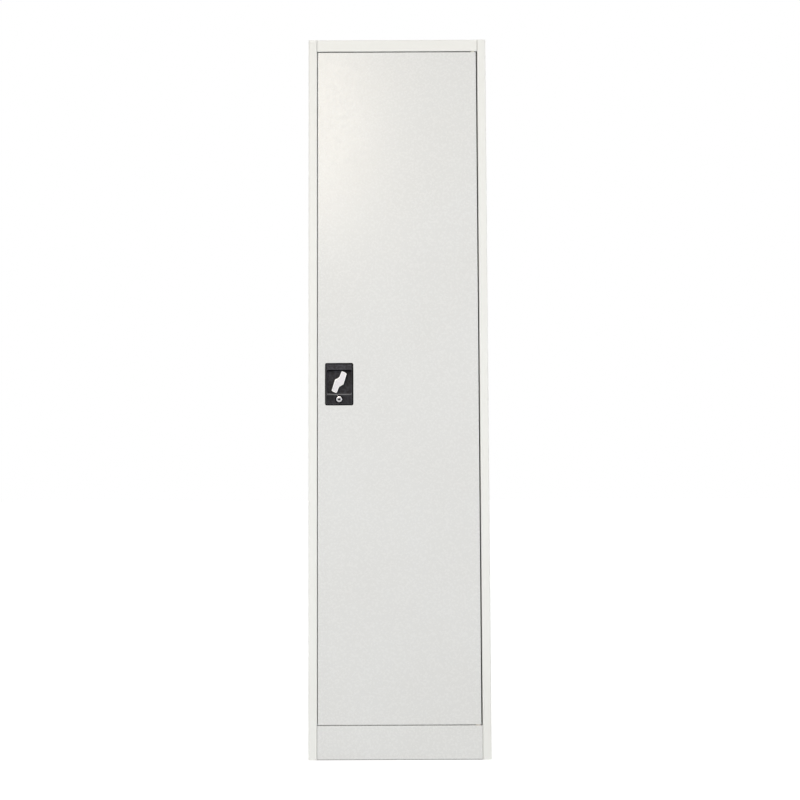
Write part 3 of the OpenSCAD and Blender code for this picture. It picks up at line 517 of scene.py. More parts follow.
def satin_nickel():
    """Satin nickel on a zinc die casting, blasted before plating: nearly white, soft highlights, a very fine
    grain, and edges and rim painted brighter as a painted highlight."""
    finish = bpy.context.scene.cabinet_finishes

    def build(tree, surface):
        base = list(finish.satin)
        place, cloud = mottled(tree, surface, base, tinted(base, 0.95, -0.01), 0.02)
        # Painted highlight: a brighter colour where the vertex mark lies, along the lever's edges and rim
        marked(tree, surface, "worn", linear("F1F1F0"))
        # Bead-blast grain is about 0.1 mm; drawn 0.6 mm wide so that it shows in a close view
        grained(tree, surface, place, 0.0006, 0.35, 0.00003)
        roughened(tree, surface, cloud, 0.24, 0.32)

    return material("satin nickel casting", build, {"Metallic": 1.0})


def bright_nickel():
    """Bright nickel on turned brass: a clear mirror with faint rings left by the lathe."""
    finish = bpy.context.scene.cabinet_finishes

    def build(tree, surface):
        base = list(finish.bright)
        place, _ = mottled(tree, surface, base, tinted(base, 0.95, 0.01), 0.008)
        # Painted shade: the keyway and the dish round it are painted near black, dull and not metallic,
        # standing in for the shade in the keyhole
        grime = marked(tree, surface, "grime", linear("1D1D1E"))
        roughened(tree, surface, grime, 0.16, 0.8)
        bare = add(tree, "ShaderNodeMath", {0: 1.0, 1: grime}, operation="SUBTRACT")
        tree.links.new(bare.outputs["Value"], surface.inputs["Metallic"])
        centred = add(tree, "ShaderNodeMapping", {
            "Vector": place, "Location": (-PLATE_X * MM, -FACE, -KEY_Z * MM)})
        # Turning marks are about 0.05 mm apart; drawn 0.5 mm apart so that they show
        rings = add(tree, "ShaderNodeTexWave", {
            "Vector": centred.outputs["Vector"], "Scale": 0.314 / 0.0005, "Distortion": 0.4, "Detail": 1.0},
            wave_type="RINGS", rings_direction="Y")
        raised(tree, surface, rings.outputs["Fac"], 0.25, 0.00002)

    return material("bright nickel plate", build)


def black_nylon():
    """Glass-filled black nylon, moulded with a spark-eroded grain: dark grey where light rakes it, near black
    where vertex marks lay painted shade, pale along the recess's lower lip where they lay a painted
    highlight, and a fine leathery stipple."""
    finish = bpy.context.scene.cabinet_finishes

    def build(tree, surface):
        base = list(finish.plastic)
        place, cloud = mottled(tree, surface, base, tinted(base, 0.55, 0.06), 0.005, 4.0, 0.38, 0.62)
        # Painted shade: the border, the head of the recess and the seat are painted deeper black; painted
        # highlight: the recess's lower lip and the bead are painted pale
        marked(tree, surface, "polished", tinted(base, 0.05))
        marked(tree, surface, "worn", linear("8E8E90"))
        # Spark-eroded grain is 0.3 mm wide; drawn 0.9 mm wide so that it shows
        grain = add(tree, "ShaderNodeTexVoronoi", {"Vector": place, "Scale": 1 / 0.0009, "Randomness": 1.0})
        raised(tree, surface, grain.outputs["Distance"], 0.4, 0.0001)
        roughened(tree, surface, cloud, 0.44, 0.56)

    return material("moulded black nylon", build, {"IOR": 1.53, "Specular IOR Level": 0.04})


def natural_nylon():
    """Unfilled nylon, turned: milky off-white, a waxy sheen, light passing a little way into it."""
    finish = bpy.context.scene.cabinet_finishes

    def build(tree, surface):
        base = list(finish.washer)
        place, _ = mottled(tree, surface, base, tinted(base, 0.93, 0.02), 0.004)
        # Lathe grain is about 0.1 mm; drawn 0.8 mm wide so that it shows
        grained(tree, surface, place, 0.0008, 0.3, 0.00003)

    return material("natural nylon", build, {
        "Roughness": 0.38, "IOR": 1.53, "Subsurface Weight": 0.15, "Subsurface Scale": 0.001})


def black_rubber():
    """Moulded black rubber: deep grey, dull, with a faint bloom and a dusty stipple."""
    finish = bpy.context.scene.cabinet_finishes

    def build(tree, surface):
        base = list(finish.rubber)
        place, _ = mottled(tree, surface, base, tinted(base, 1.5), 0.003, 4.0)
        # Stipple of the mould is about 0.2 mm; drawn 0.7 mm wide so that it shows
        grained(tree, surface, place, 0.0007, 0.5, 0.00006, detail=3.0)

    return material("moulded black rubber", build, {"Roughness": 0.78, "IOR": 1.52})


def folded(name, radius, coat, body):
    """A copy of a folded CAD part with its outer bends rounded; the sheet's cut edges stay sharp."""
    # A bend is longer than a lap's end, and the faces beside it are wider than the sheet is thick
    shortest, narrowest, least_turn = 12 * MM, 3.2 * MM, math.radians(60)
    shell = bmesh.new()
    shell.from_mesh(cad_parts[name].data)
    bmesh.ops.remove_doubles(shell, verts=shell.verts, dist=1e-6)
    bmesh.ops.dissolve_limit(
        shell, angle_limit=math.radians(0.5), verts=shell.verts, edges=shell.edges,
        use_dissolve_boundaries=False)
    bends = []
    for edge in shell.edges:
        if len(edge.link_faces) != 2 or not edge.is_convex or edge.calc_length() < shortest:
            continue
        width = min(face.calc_area() for face in edge.link_faces) / edge.calc_length()
        if width > narrowest and edge.calc_face_angle(0.0) > least_turn:
            bends.append(edge)
    bmesh.ops.bevel(
        shell, geom=bends, offset=radius, offset_type="OFFSET", segments=3, profile=0.5,
        affect="EDGES", clamp_overlap=True)
    made = even_shading(piece(name + "_folded", shell, 40))
    return fitted(made, coat, body, "painted_steel", name)


def dress(nodes, finish):
    """Gives CAD nodes a finish in their own material slots."""
    for name in nodes:
        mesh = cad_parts[name].data
        if not mesh.materials:
            mesh.materials.append(finish)
        for i in range(len(mesh.materials)):
            mesh.materials[i] = finish


# Geometry Nodes

def new_tree(name, sizes):
    """A geometry tree with a geometry input, named inputs for its sizes, and a geometry output."""
    tree = bpy.data.node_groups.new(name, "GeometryNodeTree")
    tree.interface.new_socket("Geometry", in_out="INPUT", socket_type="NodeSocketGeometry")
    for label, kind in sizes:
        tree.interface.new_socket(label, in_out="INPUT", socket_type=kind)
    tree.interface.new_socket("Geometry", in_out="OUTPUT", socket_type="NodeSocketGeometry")
    return tree, add(tree, "NodeGroupInput").outputs


def finish_tree(tree, geometry, finish):
    """Ends a tree: instances made real, then the material, then the output."""
    real = add(tree, "GeometryNodeRealizeInstances", {"Geometry": geometry})
    painted = add(tree, "GeometryNodeSetMaterial", {"Geometry": real.outputs["Geometry"], "Material": finish})
    add(tree, "NodeGroupOutput", {"Geometry": painted.outputs["Geometry"]})


def run_tree(made, tree, values):
    """Runs a tree on an object with its named inputs set, and keeps the result as a plain mesh."""
    modifier = made.modifiers.new(tree.name, "NODES")
    modifier.node_group = tree
    for item in tree.interface.items_tree:
        if item.item_type == "SOCKET" and item.in_out == "INPUT" and item.name in values:
            modifier[item.identifier] = values[item.name]
    made.update_tag()
    return settled(made)


FLOAT, INTEGER, VECTOR = "NodeSocketFloat", "NodeSocketInt", "NodeSocketVector"


def both_sides_tree(name, finish):
    """Repeats the shape of the left side up a line at each depth, and again, turned round,
    on the right side."""
    tree, given = new_tree(name, [
        ("Count", INTEGER), ("First", VECTOR), ("Step up", VECTOR), ("Depths", INTEGER),
        ("Step back", VECTOR), ("Left", FLOAT)])
    column = add(tree, "GeometryNodeMeshLine", {
        "Count": given["Count"], "Start Location": given["First"], "Offset": given["Step up"]},
        mode="OFFSET", count_mode="TOTAL")
    row = add(tree, "GeometryNodeMeshLine", {
        "Count": given["Depths"], "Offset": given["Step back"]}, mode="OFFSET", count_mode="TOTAL")
    columns = add(tree, "GeometryNodeInstanceOnPoints", {
        "Points": row.outputs["Mesh"], "Instance": column.outputs["Mesh"]})
    places = add(tree, "GeometryNodeRealizeInstances", {"Geometry": columns.outputs["Instances"]})
    mirrored = add(tree, "ShaderNodeMath", {0: given["Left"], 1: -1.0}, operation="MULTIPLY")
    left = add(tree, "ShaderNodeCombineXYZ", {"X": given["Left"]})
    right = add(tree, "ShaderNodeCombineXYZ", {"X": mirrored.outputs["Value"]})
    sides = []
    for shift, turn in ((left, 0.0), (right, math.pi)):
        moved = add(tree, "GeometryNodeTransform", {
            "Geometry": places.outputs["Geometry"], "Translation": shift.outputs["Vector"]})
        sides.append(add(tree, "GeometryNodeInstanceOnPoints", {
            "Points": moved.outputs["Geometry"], "Instance": given["Geometry"],
            "Rotation": (0.0, 0.0, turn)}))
    joined = add(tree, "GeometryNodeJoinGeometry")
    for side in sides:
        tree.links.new(side.outputs["Instances"], joined.inputs["Geometry"])
    finish_tree(tree, joined.outputs["Geometry"], finish)
    return tree


def column_tree(name, columns, finish):
    """Repeats the shape in columns; each column has its own named start and step up."""
    sizes = [("Count", INTEGER)]
    for label in columns:
        sizes += [(label, VECTOR), (label + " step", VECTOR)]
    tree, given = new_tree(name, sizes)
    joined = add(tree, "GeometryNodeJoinGeometry")
    for label in columns:
        line = add(tree, "GeometryNodeMeshLine", {
            "Count": given["Count"], "Start Location": given[label], "Offset": given[label + " step"]},
            mode="OFFSET", count_mode="TOTAL")
        placed = add(tree, "GeometryNodeInstanceOnPoints", {
            "Points": line.outputs["Mesh"], "Instance": given["Geometry"]})
        tree.links.new(placed.outputs["Instances"], joined.inputs["Geometry"])
    finish_tree(tree, joined.outputs["Geometry"], finish)
    return tree


# Operators

class CABINET_OT_paint_panels(bpy.types.Operator):
    """Powder coats the carcass, the door and the shelves"""
    bl_idname = "cabinet.paint_panels"
    bl_label = "Powder-coated panels"

    def execute(self, context):
        sizes = context.scene.cabinet_fittings
        for name in FOLDED:
            coat = powder_coat("door" if name in ("door_shell", "door_stiffener", "plinth") else "frame")
            folded(name, sizes.bend, coat, "door" if name.startswith("door") else "cabinet")
        dress(SLOTTED, powder_coat("frame"))
        return {"FINISHED"}


class CABINET_OT_weld_spots(bpy.types.Operator):
    """Spot welds up the uprights' feet and down both edges of the back"""
    bl_idname = "cabinet.weld_spots"
    bl_label = "Weld spots"

    def execute(self, context):
        sizes = context.scene.cabinet_fittings
        coat = powder_coat("frame")
        radius = sizes.weld_width / 2 / MM
        foot, inwards, sheet = 3.5 * MM, 7 * MM, 0.8 * MM
        # A dimple with a low rim round it, as shares of the radius and heights in millimetres
        profile = [(radius * part, height) for part, height in (
            (0.45, 0.02), (0.62, 0.05), (0.8, 0.14), (1.0, -0.05))]

        def on_foot(u, v, depth):
            return Vector((depth * MM, u * MM, v * MM))

        # On the front and the rear foot of the left upright
        low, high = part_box("front_left_upright")
        middle, apart = (low.y + high.y) / 2, ((high.y - low.y) / 2 - foot) / MM
        shell = new_shell()
        for centre in (-apart, apart):
            turned(shell, (centre, 0), profile, on_foot, 12, capped)
        start = low.z + (high.z - low.z - sizes.weld_pitch * (sizes.welds - 1)) / 2
        step = (0.0, 0.0, sizes.weld_pitch)
        made = run_tree(piece("weld_spots", shell), both_sides_tree("weld spots up the uprights", coat), {
            "Count": sizes.welds, "First": (0.0, middle, start), "Step up": step, "Depths": 2,
            "Step back": (0.0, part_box("rear_left_upright")[0].y - low.y, 0.0), "Left": low.x + sheet})
        fitted(made, coat, "cabinet", "painted_steel")

        # The same marks down both edges of the back, where it is welded to the sides
        low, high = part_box("back_panel")
        shell = new_shell()
        turned(shell, (0, 0), profile, from_origin, 12, capped)
        tree = column_tree("weld spots down the back", ("Left edge", "Right edge"), coat)
        made = run_tree(piece("back_weld_spots", shell), tree, {
            "Count": sizes.welds, "Left edge": (low.x + inwards, high.y, start), "Left edge step": step,
            "Right edge": (high.x - inwards, high.y, start), "Right edge step": step})
        fitted(made, coat, "cabinet", "painted_steel")
        return {"FINISHED"}


class CABINET_OT_shelf_clips(bpy.types.Operator):
    """Bent steel clips, hooked in the uprights' slots under the shelves' corners"""
    bl_idname = "cabinet.shelf_clips"
    bl_label = "Shelf clips"

    def execute(self, context):
        bend = context.scene.cabinet_fittings.clip_bend / MM
        clip_t, clip_w, leg, ledge, tongue, hook = 1.5, 16.0, 18.0, 14.0, 11.6, 5.0
        # Places of the hook behind the upright's slot, and of the slot under the ledge
        behind, slot_high, slot_low, edge = -1.0, -2.3, -3.8, 0.25
        # Leg and ledge in one bent strip; its outer corner at the top is the origin
        strip = rounded([
            (0, -leg, 0.4), (clip_t, -leg, 0.4), (clip_t, -clip_t, bend), (clip_t + ledge, -clip_t, 0.4),
            (clip_t + ledge, 0, 0.4), (0, 0, bend + clip_t)], 5)
        # Tongue through the slot and the hook behind it
        tab = rounded([
            (0.02, slot_low, 0), (behind, slot_low, 0.3), (behind, -4 - hook, 0.4),
            (behind - clip_t, -4 - hook, 0.4), (behind - clip_t, slot_high, clip_t), (0.02, slot_high, 0)], 4)
        shell = new_shell()
        for outline, width in ((strip, clip_w), (tab, tongue)):
            capped(shell, eased(shell, outline, width, edge, from_origin))
        coat = zinc_plate()
        lowest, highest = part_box("shelf_1")[0].z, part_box("shelf_4")[0].z
        front, rear = [
            sum(corner.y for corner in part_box(f"{place}_left_upright")) / 2 for place in ("front", "rear")]
        tree = both_sides_tree("clips at the shelves' corners", coat)
        made = run_tree(piece("sprung_shelf_clips", shell), tree, {
            "Count": 4, "First": (0.0, front, lowest), "Step up": (0.0, 0.0, (highest - lowest) / 3),
            "Depths": 2, "Step back": (0.0, rear - front, 0.0), "Left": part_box("front_left_upright")[1].x})
        fitted(made, coat, "cabinet", "zinc_plated_steel", "shelf_clips")
        return {"FINISHED"}


class CABINET_OT_door_buffers(bpy.types.Operator):
    """Rubber buffers on the lock side's door stop"""
    bl_idname = "cabinet.door_buffers"
    bl_label = "Door buffers"

    def execute(self, context):
        low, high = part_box("door_buffers")
        radius, deep = (high.x - low.x) / 2 / MM, (high.y - low.y) / MM
        dome = context.scene.cabinet_fittings.buffer_dome / MM
        profile = [(radius * 0.35, 0.35), (radius - dome, 0.0)]
        profile += [(radius - dome + dome * math.sin(a), dome - dome * math.cos(a))
                    for a in (0.5, 1.0, math.pi / 2)]
        profile += [(radius, deep - 0.3), (radius - 0.3, deep)]
        shell = new_shell()
        turned(shell, (0, 0), profile, from_origin, 20, capped)
        coat = black_rubber()
        places = {
            "Lowest": low.z + radius * MM, "Middle": (SPINDLE_Z + 200) * MM, "Highest": high.z - radius * MM}
        values = {"Count": 1}
        for label, z in places.items():
            values[label] = ((low.x + high.x) / 2, low.y, z)
            values[label + " step"] = (0.0, 0.0, 0.0)
        tree = column_tree("buffers down the stop", tuple(places), coat)
        made = run_tree(piece("stop_buffers", shell), tree, values)
        fitted(made, coat, "cabinet", "black_rubber", "door_buffers")
        return {"FINISHED"}


class CABINET_OT_bar_guides(bpy.types.Operator):
    """Moulded guides that hold the lock bars against the door"""
    bl_idname = "cabinet.bar_guides"
    bl_label = "Lock bar guides"

    def execute(self, context):
        edge = context.scene.cabinet_fittings.guide_edge / MM
        low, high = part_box("bar_guides")
        base, back = (low.y - FACE) / MM, (high.y - FACE) / MM
        bar_front, bar_back = [(corner.y - FACE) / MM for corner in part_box("upper_lock_bar")]
        # Half widths of the way for the bar, of the guide's body and of its feet
        way, body, foot = 5.4, 9.4, 15.4
        tall, foot_t, clearance, rim = 16.0, 2, 0.4, 0.25

        def standing(u, v, height):
            return Vector((u * MM, FACE + v * MM, height * MM))

        outline = rounded([
            (-foot, base, 0.3), (foot, base, 0.3), (foot, base + foot_t, edge), (body, base + foot_t, edge),
            (body, back, edge * 1.5), (-body, back, edge * 1.5), (-body, base + foot_t, edge),
            (-foot, base + foot_t, edge)], 3)
        hole = box_outline(-way, bar_front - clearance, way, bar_back + clearance, 0.4, 3)
        shell = new_shell()
        outer = eased(shell, outline, tall, rim, standing)
        inner = eased(shell, hole, tall, rim, standing, -1)
        walls(shell, outer)
        walls(shell, inner)
        flat(shell, outer[0], inner[0])
        flat(shell, outer[-1], inner[-1])
        # A rivet head on each foot
        rivet = [(2.2, base + 1.9), (2.2, base + 2.25), (1.7, base + 2.75), (0.8, base + 2.95)]
        for side in (-1, 1):
            turned(shell, (side * (body + foot) / 2, 0.0), rivet, points=14, build=capped)
        coat = black_nylon()
        door_low, door_high = [corner.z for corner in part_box("door_shell")]
        spindle, half = SPINDLE_Z * MM, tall / 2 * MM
        upper, lower = (spindle + door_high) / 2, low.z + half
        tree = column_tree("guides along the lock bars", ("Upper bar", "Lower bar"), coat)
        made = run_tree(piece("moulded_bar_guides", shell), tree, {
            "Count": 2,
            "Upper bar": (low.x + foot * MM, 0.0, upper),
            "Upper bar step": (0.0, 0.0, high.z - half - upper),
            "Lower bar": (high.x - foot * MM, 0.0, lower),
            "Lower bar step": (0.0, 0.0, (spindle + door_low) / 2 - lower)})
        fitted(made, coat, "door", "black_plastic", "bar_guides")
        return {"FINISHED"}


class CABINET_OT_handle_plate(bpy.types.Operator):
    """Moulded handle plate with its recess, its cup and the seat of the lock cylinder"""
    bl_idname = "cabinet.handle_plate"
    bl_label = "Handle plate"

    # Depths of the land, of the recess's floor, of the cup's back and of its hollows' floors
    land, floor, back, hollow = -2.2, 9.8, 11.8, 2.0
    # Half width of the recess, heights of its foot and of the bead below it, and the cup's wall
    half_mouth, mouth_foot, bead_z, cup_wall = 31.0, SPINDLE_Z - 31.325, SPINDLE_Z - 31.85, 2.0

    def execute(self, context):
        sizes = context.scene.cabinet_handle
        land, floor, back = self.land, self.floor, self.back
        shell = new_shell("polished", "worn")
        self.polished, self.worn = [shell.verts.layers.float[name] for name in ("polished", "worn")]
        border = self.border(shell, sizes.bevel / MM)
        recess = self.recess(shell, sizes.corner / MM, sizes.lip / MM, sizes.low_lip / MM)

        # Seat of the lock cylinder, sunk in the land
        seat = turned(shell, (PLATE_X, KEY_Z), [
            (10.6, land), (10.4, land + 0.2), (10.4, land + 0.65), (10.25, land + 0.8), (7.4, land + 0.8),
            (7.4, back)])
        # The seat's walls and floor are painted near black, a painted shadow round the lock cylinder
        for loop, black in zip(seat[1:], (0.8, 1.0, 1.0, 1.0)):
            mark(loop, self.polished, black)
        flat(shell, border[-1], recess[0], seat[0])

        # Raised ring and hole of the spindle
        hub = turned(shell, (PLATE_X, SPINDLE_Z), [
            (8.2, floor), (8.2, floor - 0.75), (7.95, floor - 1.0), (5.3, floor - 1.0), (5.05, floor - 0.8),
            (5.05, back + 2)])
        flat(shell, recess[-1], hub[0])
        self.cup(shell, border[0], seat[-1], hub[-1])

        # Below the bead, round the seat of the lock, the land is painted darker as painted shade; the bead
        # hides the change
        seam = 0.15
        for cut_z in (self.bead_z - 2 * seam, self.bead_z + seam):
            bmesh.ops.bisect_plane(
                shell, geom=shell.verts[:] + shell.edges[:] + shell.faces[:],
                plane_co=(0.0, 0.0, cut_z * MM), plane_no=(0.0, 0.0, 1.0))
        for vertex in shell.verts:
            if vertex.co.z < (self.bead_z - seam) * MM and vertex.co.y < FACE:
                vertex[self.polished] = max(vertex[self.polished], 0.45)
        made = even_shading(piece("recessed_handle_plate", shell, 40))
        fitted(made, black_nylon(), "door", "black_plastic", "handle_plate")
        return {"FINISHED"}

    def border(self, shell, bevel):
        """A thin upright edge on the door, the slope, the rounded edge of the land, and a bead; the border is
        painted near black as painted shade, and the bead pale as a painted highlight.
        """
        x0, x1 = PLATE_LOW.x / MM, PLATE_HIGH.x / MM
        z0, z1 = PLATE_LOW.z / MM, PLATE_HIGH.z / MM
        loops = []
        for step, depth, black in (
                (0.0, 0.0, 1.0), (0.0, -0.25, 1.0), (0.12, -0.45, 1.0), (bevel - 0.35, self.land + 0.16, 0.9),
                (bevel - 0.1, self.land + 0.03, 0.8), (bevel + 0.2, self.land, 0.0)):
            outline = box_outline(x0 + step, z0 + step, x1 - step, z1 - step, max(4.5 - step, 0.35))
            loops.append(ring(shell, outline, depth, in_front, polished=black))
        walls(shell, loops)
        # The border's painted shade is lighter on its left and upper sides, as painted light from the lamps
        # there, and a little lighter along its foot; the foot's inner edge gets a painted highlight
        left, foot = (x1 - 5) * MM, (z0 + 5) * MM
        for loop in loops:
            for vertex in loop:
                if vertex.co.x < left and vertex.co.z > foot:
                    vertex[self.polished] = min(vertex[self.polished], 0.7)
                if vertex.co.z < foot:
                    vertex[self.polished] = min(vertex[self.polished], 0.85)
        for vertex in loops[-2]:
            if vertex.co.z < foot:
                vertex[self.worn] = 0.6

        # Bead along the recess's lower edge, painted pale all along as a painted highlight
        bead, stops, span = [], 16, x1 - x0 - 2 * bevel - 0.6
        for k in range(stops + 1):
            across = PLATE_X - span / 2 + span * k / stops
            rise = 0.75 * min(1.0, 3.0 * min(k, stops - k) / stops + 0.35)
            bead.append([
                shell.verts.new(in_front(
                    across, self.bead_z + rise * math.cos(a), self.land + 0.25 - rise * math.sin(a)))
                for a in [math.tau * n / 10 for n in range(10)]])
            mark(bead[-1], self.worn, 1.0)
        capped(shell, bead)
        return loops

    def recess(self, shell, corner, lip, low_lip):
        """The recess from its rounded lip to its floor, whose sides and foot slope inwards."""
        def mouth(deep, side, down):
            """Outline of the recess at a share of its depth, widened all round and downwards."""
            draft = 0.8 * deep
            left = PLATE_X - self.half_mouth + draft - side
            right = PLATE_X + self.half_mouth - draft + side
            foot, head = self.mouth_foot + 4.5 * deep - down, SPINDLE_Z + 31.0 - draft + side
            # Points down the sides keep the painted shade of the head and the painted highlight of the foot
            # off the rest
            shoulder, waist = SPINDLE_Z + 24.5, SPINDLE_Z - 26
            return rounded([
                (left, foot, corner), (right, foot, corner), (right, waist, 0), (right, shoulder, 0),
                (right, head, corner), (left, head, corner), (left, shoulder, 0), (left, waist, 0)])

        fillet, steps = 1.6, quarter(1)
        rows = []
        for sunk, out in steps:
            rows.append((mouth(0.0, lip * (1 - out), low_lip * (1 - out)), self.land + lip * sunk))
        rows.append((mouth(0.5, 0, 0), self.land + 6.0))
        for sunk, out in steps:
            shrink, above = -fillet * sunk, fillet * (1 - out)
            rows.append((mouth(1.0 - above / 12, shrink, shrink), self.floor - above))
        rows.append((mouth(1.0, -fillet - 2, -fillet - 2), self.floor))
        loops = [ring(shell, points, depth, in_front) for points, depth in rows]
        walls(shell, loops)
        # The head of the recess is painted deep black, a painted shadow under its upper lip; the first rows
        # of the lip are painted dark below it, darker on the left, as painted shade; the foot carries a
        # painted highlight
        head, foot = (SPINDLE_Z + 25) * MM, (SPINDLE_Z - 27) * MM
        head_painted_shade = (0.0, 0.0, 1.0, 1.0, 1.0, 1.0, 1.0, 0.9, 0.5, 0.2, 0.0)
        foot_worn = (0.0, 0.4, 0.6, 0.6, 0.55, 0.4, 0.15, 0.15, 0.15, 0.15, 0.15)
        for number, (black, pale) in enumerate(zip(head_painted_shade, foot_worn)):
            for vertex in loops[number]:
                if vertex.co.z > head:
                    vertex[self.polished] = black
                elif number < 2:
                    vertex[self.polished] = 0.8 if vertex.co.x < PLATE_X * MM else 0.4
                if vertex.co.z < foot:
                    vertex[self.worn] = pale
        return loops

    def cup(self, shell, border, seat, hub):
        """Back of the plate: the cup with its two hollows, the bosses in them and the screw's hole."""
        back, hollow, wall_t, half = self.back, self.hollow, self.cup_wall, self.half_mouth
        low_z, high_z, edge = PLATE_LOW.z / MM + 3.5, SPINDLE_Z + 40.6, 0.4
        cup = []
        for step, depth in ((0, 0.0), (0, back - edge), (edge, back)):
            side = half + wall_t - step
            outline = box_outline(PLATE_X - side, low_z + step, PLATE_X + side, high_z - step, 1.5 - step)
            cup.append(ring(shell, outline, depth, in_front))
        walls(shell, cup)
        flat(shell, border, cup[0])

        # Lower hollow, round the boss of the lock cylinder
        lower = straight(shell, box_outline(
            PLATE_X - half, low_z + wall_t, PLATE_X + half, self.mouth_foot - wall_t, 1.0), (back, hollow))
        barrel_boss = turned(shell, (PLATE_X, KEY_Z), [(9.2, back), (9.2, hollow)])
        flat(shell, barrel_boss[0], seat)
        flat(shell, lower[1], barrel_boss[1])

        # Upper hollows, one on each side of the boss of the bracket's screw
        foot, head, boss_r = SPINDLE_Z + 31.6, high_z - wall_t, 4.5
        pockets = []
        for side in (-1, 1):
            outline = [(PLATE_X + side * boss_r * math.cos(a), BRACKET_Z + boss_r * math.sin(a))
                       for a in [math.radians(t) for t in (-51, -30, -10, 10, 30, 51)]]
            outline[0], outline[-1] = (outline[0][0], foot), (outline[-1][0], head)
            outline += [(PLATE_X + side * half, head), (PLATE_X + side * half, foot)]
            pocket = straight(shell, outline, (back, hollow))
            flat(shell, pocket[1])
            pockets.append(pocket[0])
        screw = turned(shell, (PLATE_X, BRACKET_Z), [(1.5, back), (1.5, back - 8)], points=16)
        flat(shell, screw[1])
        boss = turned(shell, (PLATE_X, SPINDLE_Z), [(8.0, back), (8.0, back + 1.7), (7.7, back + 2)])
        flat(shell, boss[-1], hub)
        flat(shell, cup[-1], screw[0], boss[0], lower[0], *pockets)


class CABINET_OT_turn_lever(bpy.types.Operator):
    """Die-cast turn lever with rounded edges and a slightly sunk face"""
    bl_idname = "cabinet.turn_lever"
    bl_label = "Turn lever"

    def execute(self, context):
        sizes = context.scene.cabinet_handle
        edge, rim, sink = sizes.lever_edge / MM, sizes.lever_rim / MM, sizes.lever_sink / MM
        front, rear, neck = -3.2, 2.4, 8.6
        # Half of the upright outline, clockwise from the upper arm's left corner; the other
        # half is the same, turned half a circle. The arms end on a circle round the spindle
        reach, arm_left, arm_right, steps = 28.8, -1.83, 12, 5
        first, last = [math.atan2(z, x) for x, z in ((arm_left, 28.74), (arm_right, 26.18))]
        half = []
        for k in range(steps + 1):
            a = first + (last - first) * k / steps
            half.append((reach * math.cos(a), reach * math.sin(a), 1.7 if k in (0, steps) else 0))
        half += [(arm_right, -2.9, 2), (3.6, -11.3, 5)]
        outline = rounded((half + [(-x, -z, r) for x, z, r in half])[::-1], 5)
        # The rounded edge rows and the rim round the face carry a painted highlight, fading out towards the
        # sunk face
        rows = [(0.5, rear, 0.0), (0.15, rear - 0.15, 0.0), (0, rear - 0.5, 0.0)]
        rows += [(across, front + edge - along, 1.0) for across, along in quarter(edge)]
        rows += [(edge + rim, front, 1.0), (edge + rim + 0.12, front + 0.04, 0.6),
                 (edge + rim + 0.28, front + sink, 0.0)]
        shell = new_shell("worn")
        loops = [
            ring(shell, inset(outline, step), depth, from_origin, worn=rim_painted_highlight)
            for step, depth, rim_painted_highlight in rows]
        walls(shell, loops)
        flat(shell, loops[-1])
        boss = turned(shell, (0, 0), [
            (8.6, rear), (8.15, rear + 0.15), (8.0, rear + 0.6), (8.0, neck - 0.4), (7.6, neck)], from_origin)
        flat(shell, loops[0], boss[0])
        flat(shell, boss[-1])
        made = piece("turn_lever_casting", shell, 50)
        made.data.transform(
            Matrix.Translation((PLATE_X * MM, FACE, SPINDLE_Z * MM)) @ Matrix.Rotation(sizes.tilt, 4, "Y"))
        fitted(even_shading(made), satin_nickel(), "lever", "satin_zinc_casting", "turn_lever")
        return {"FINISHED"}


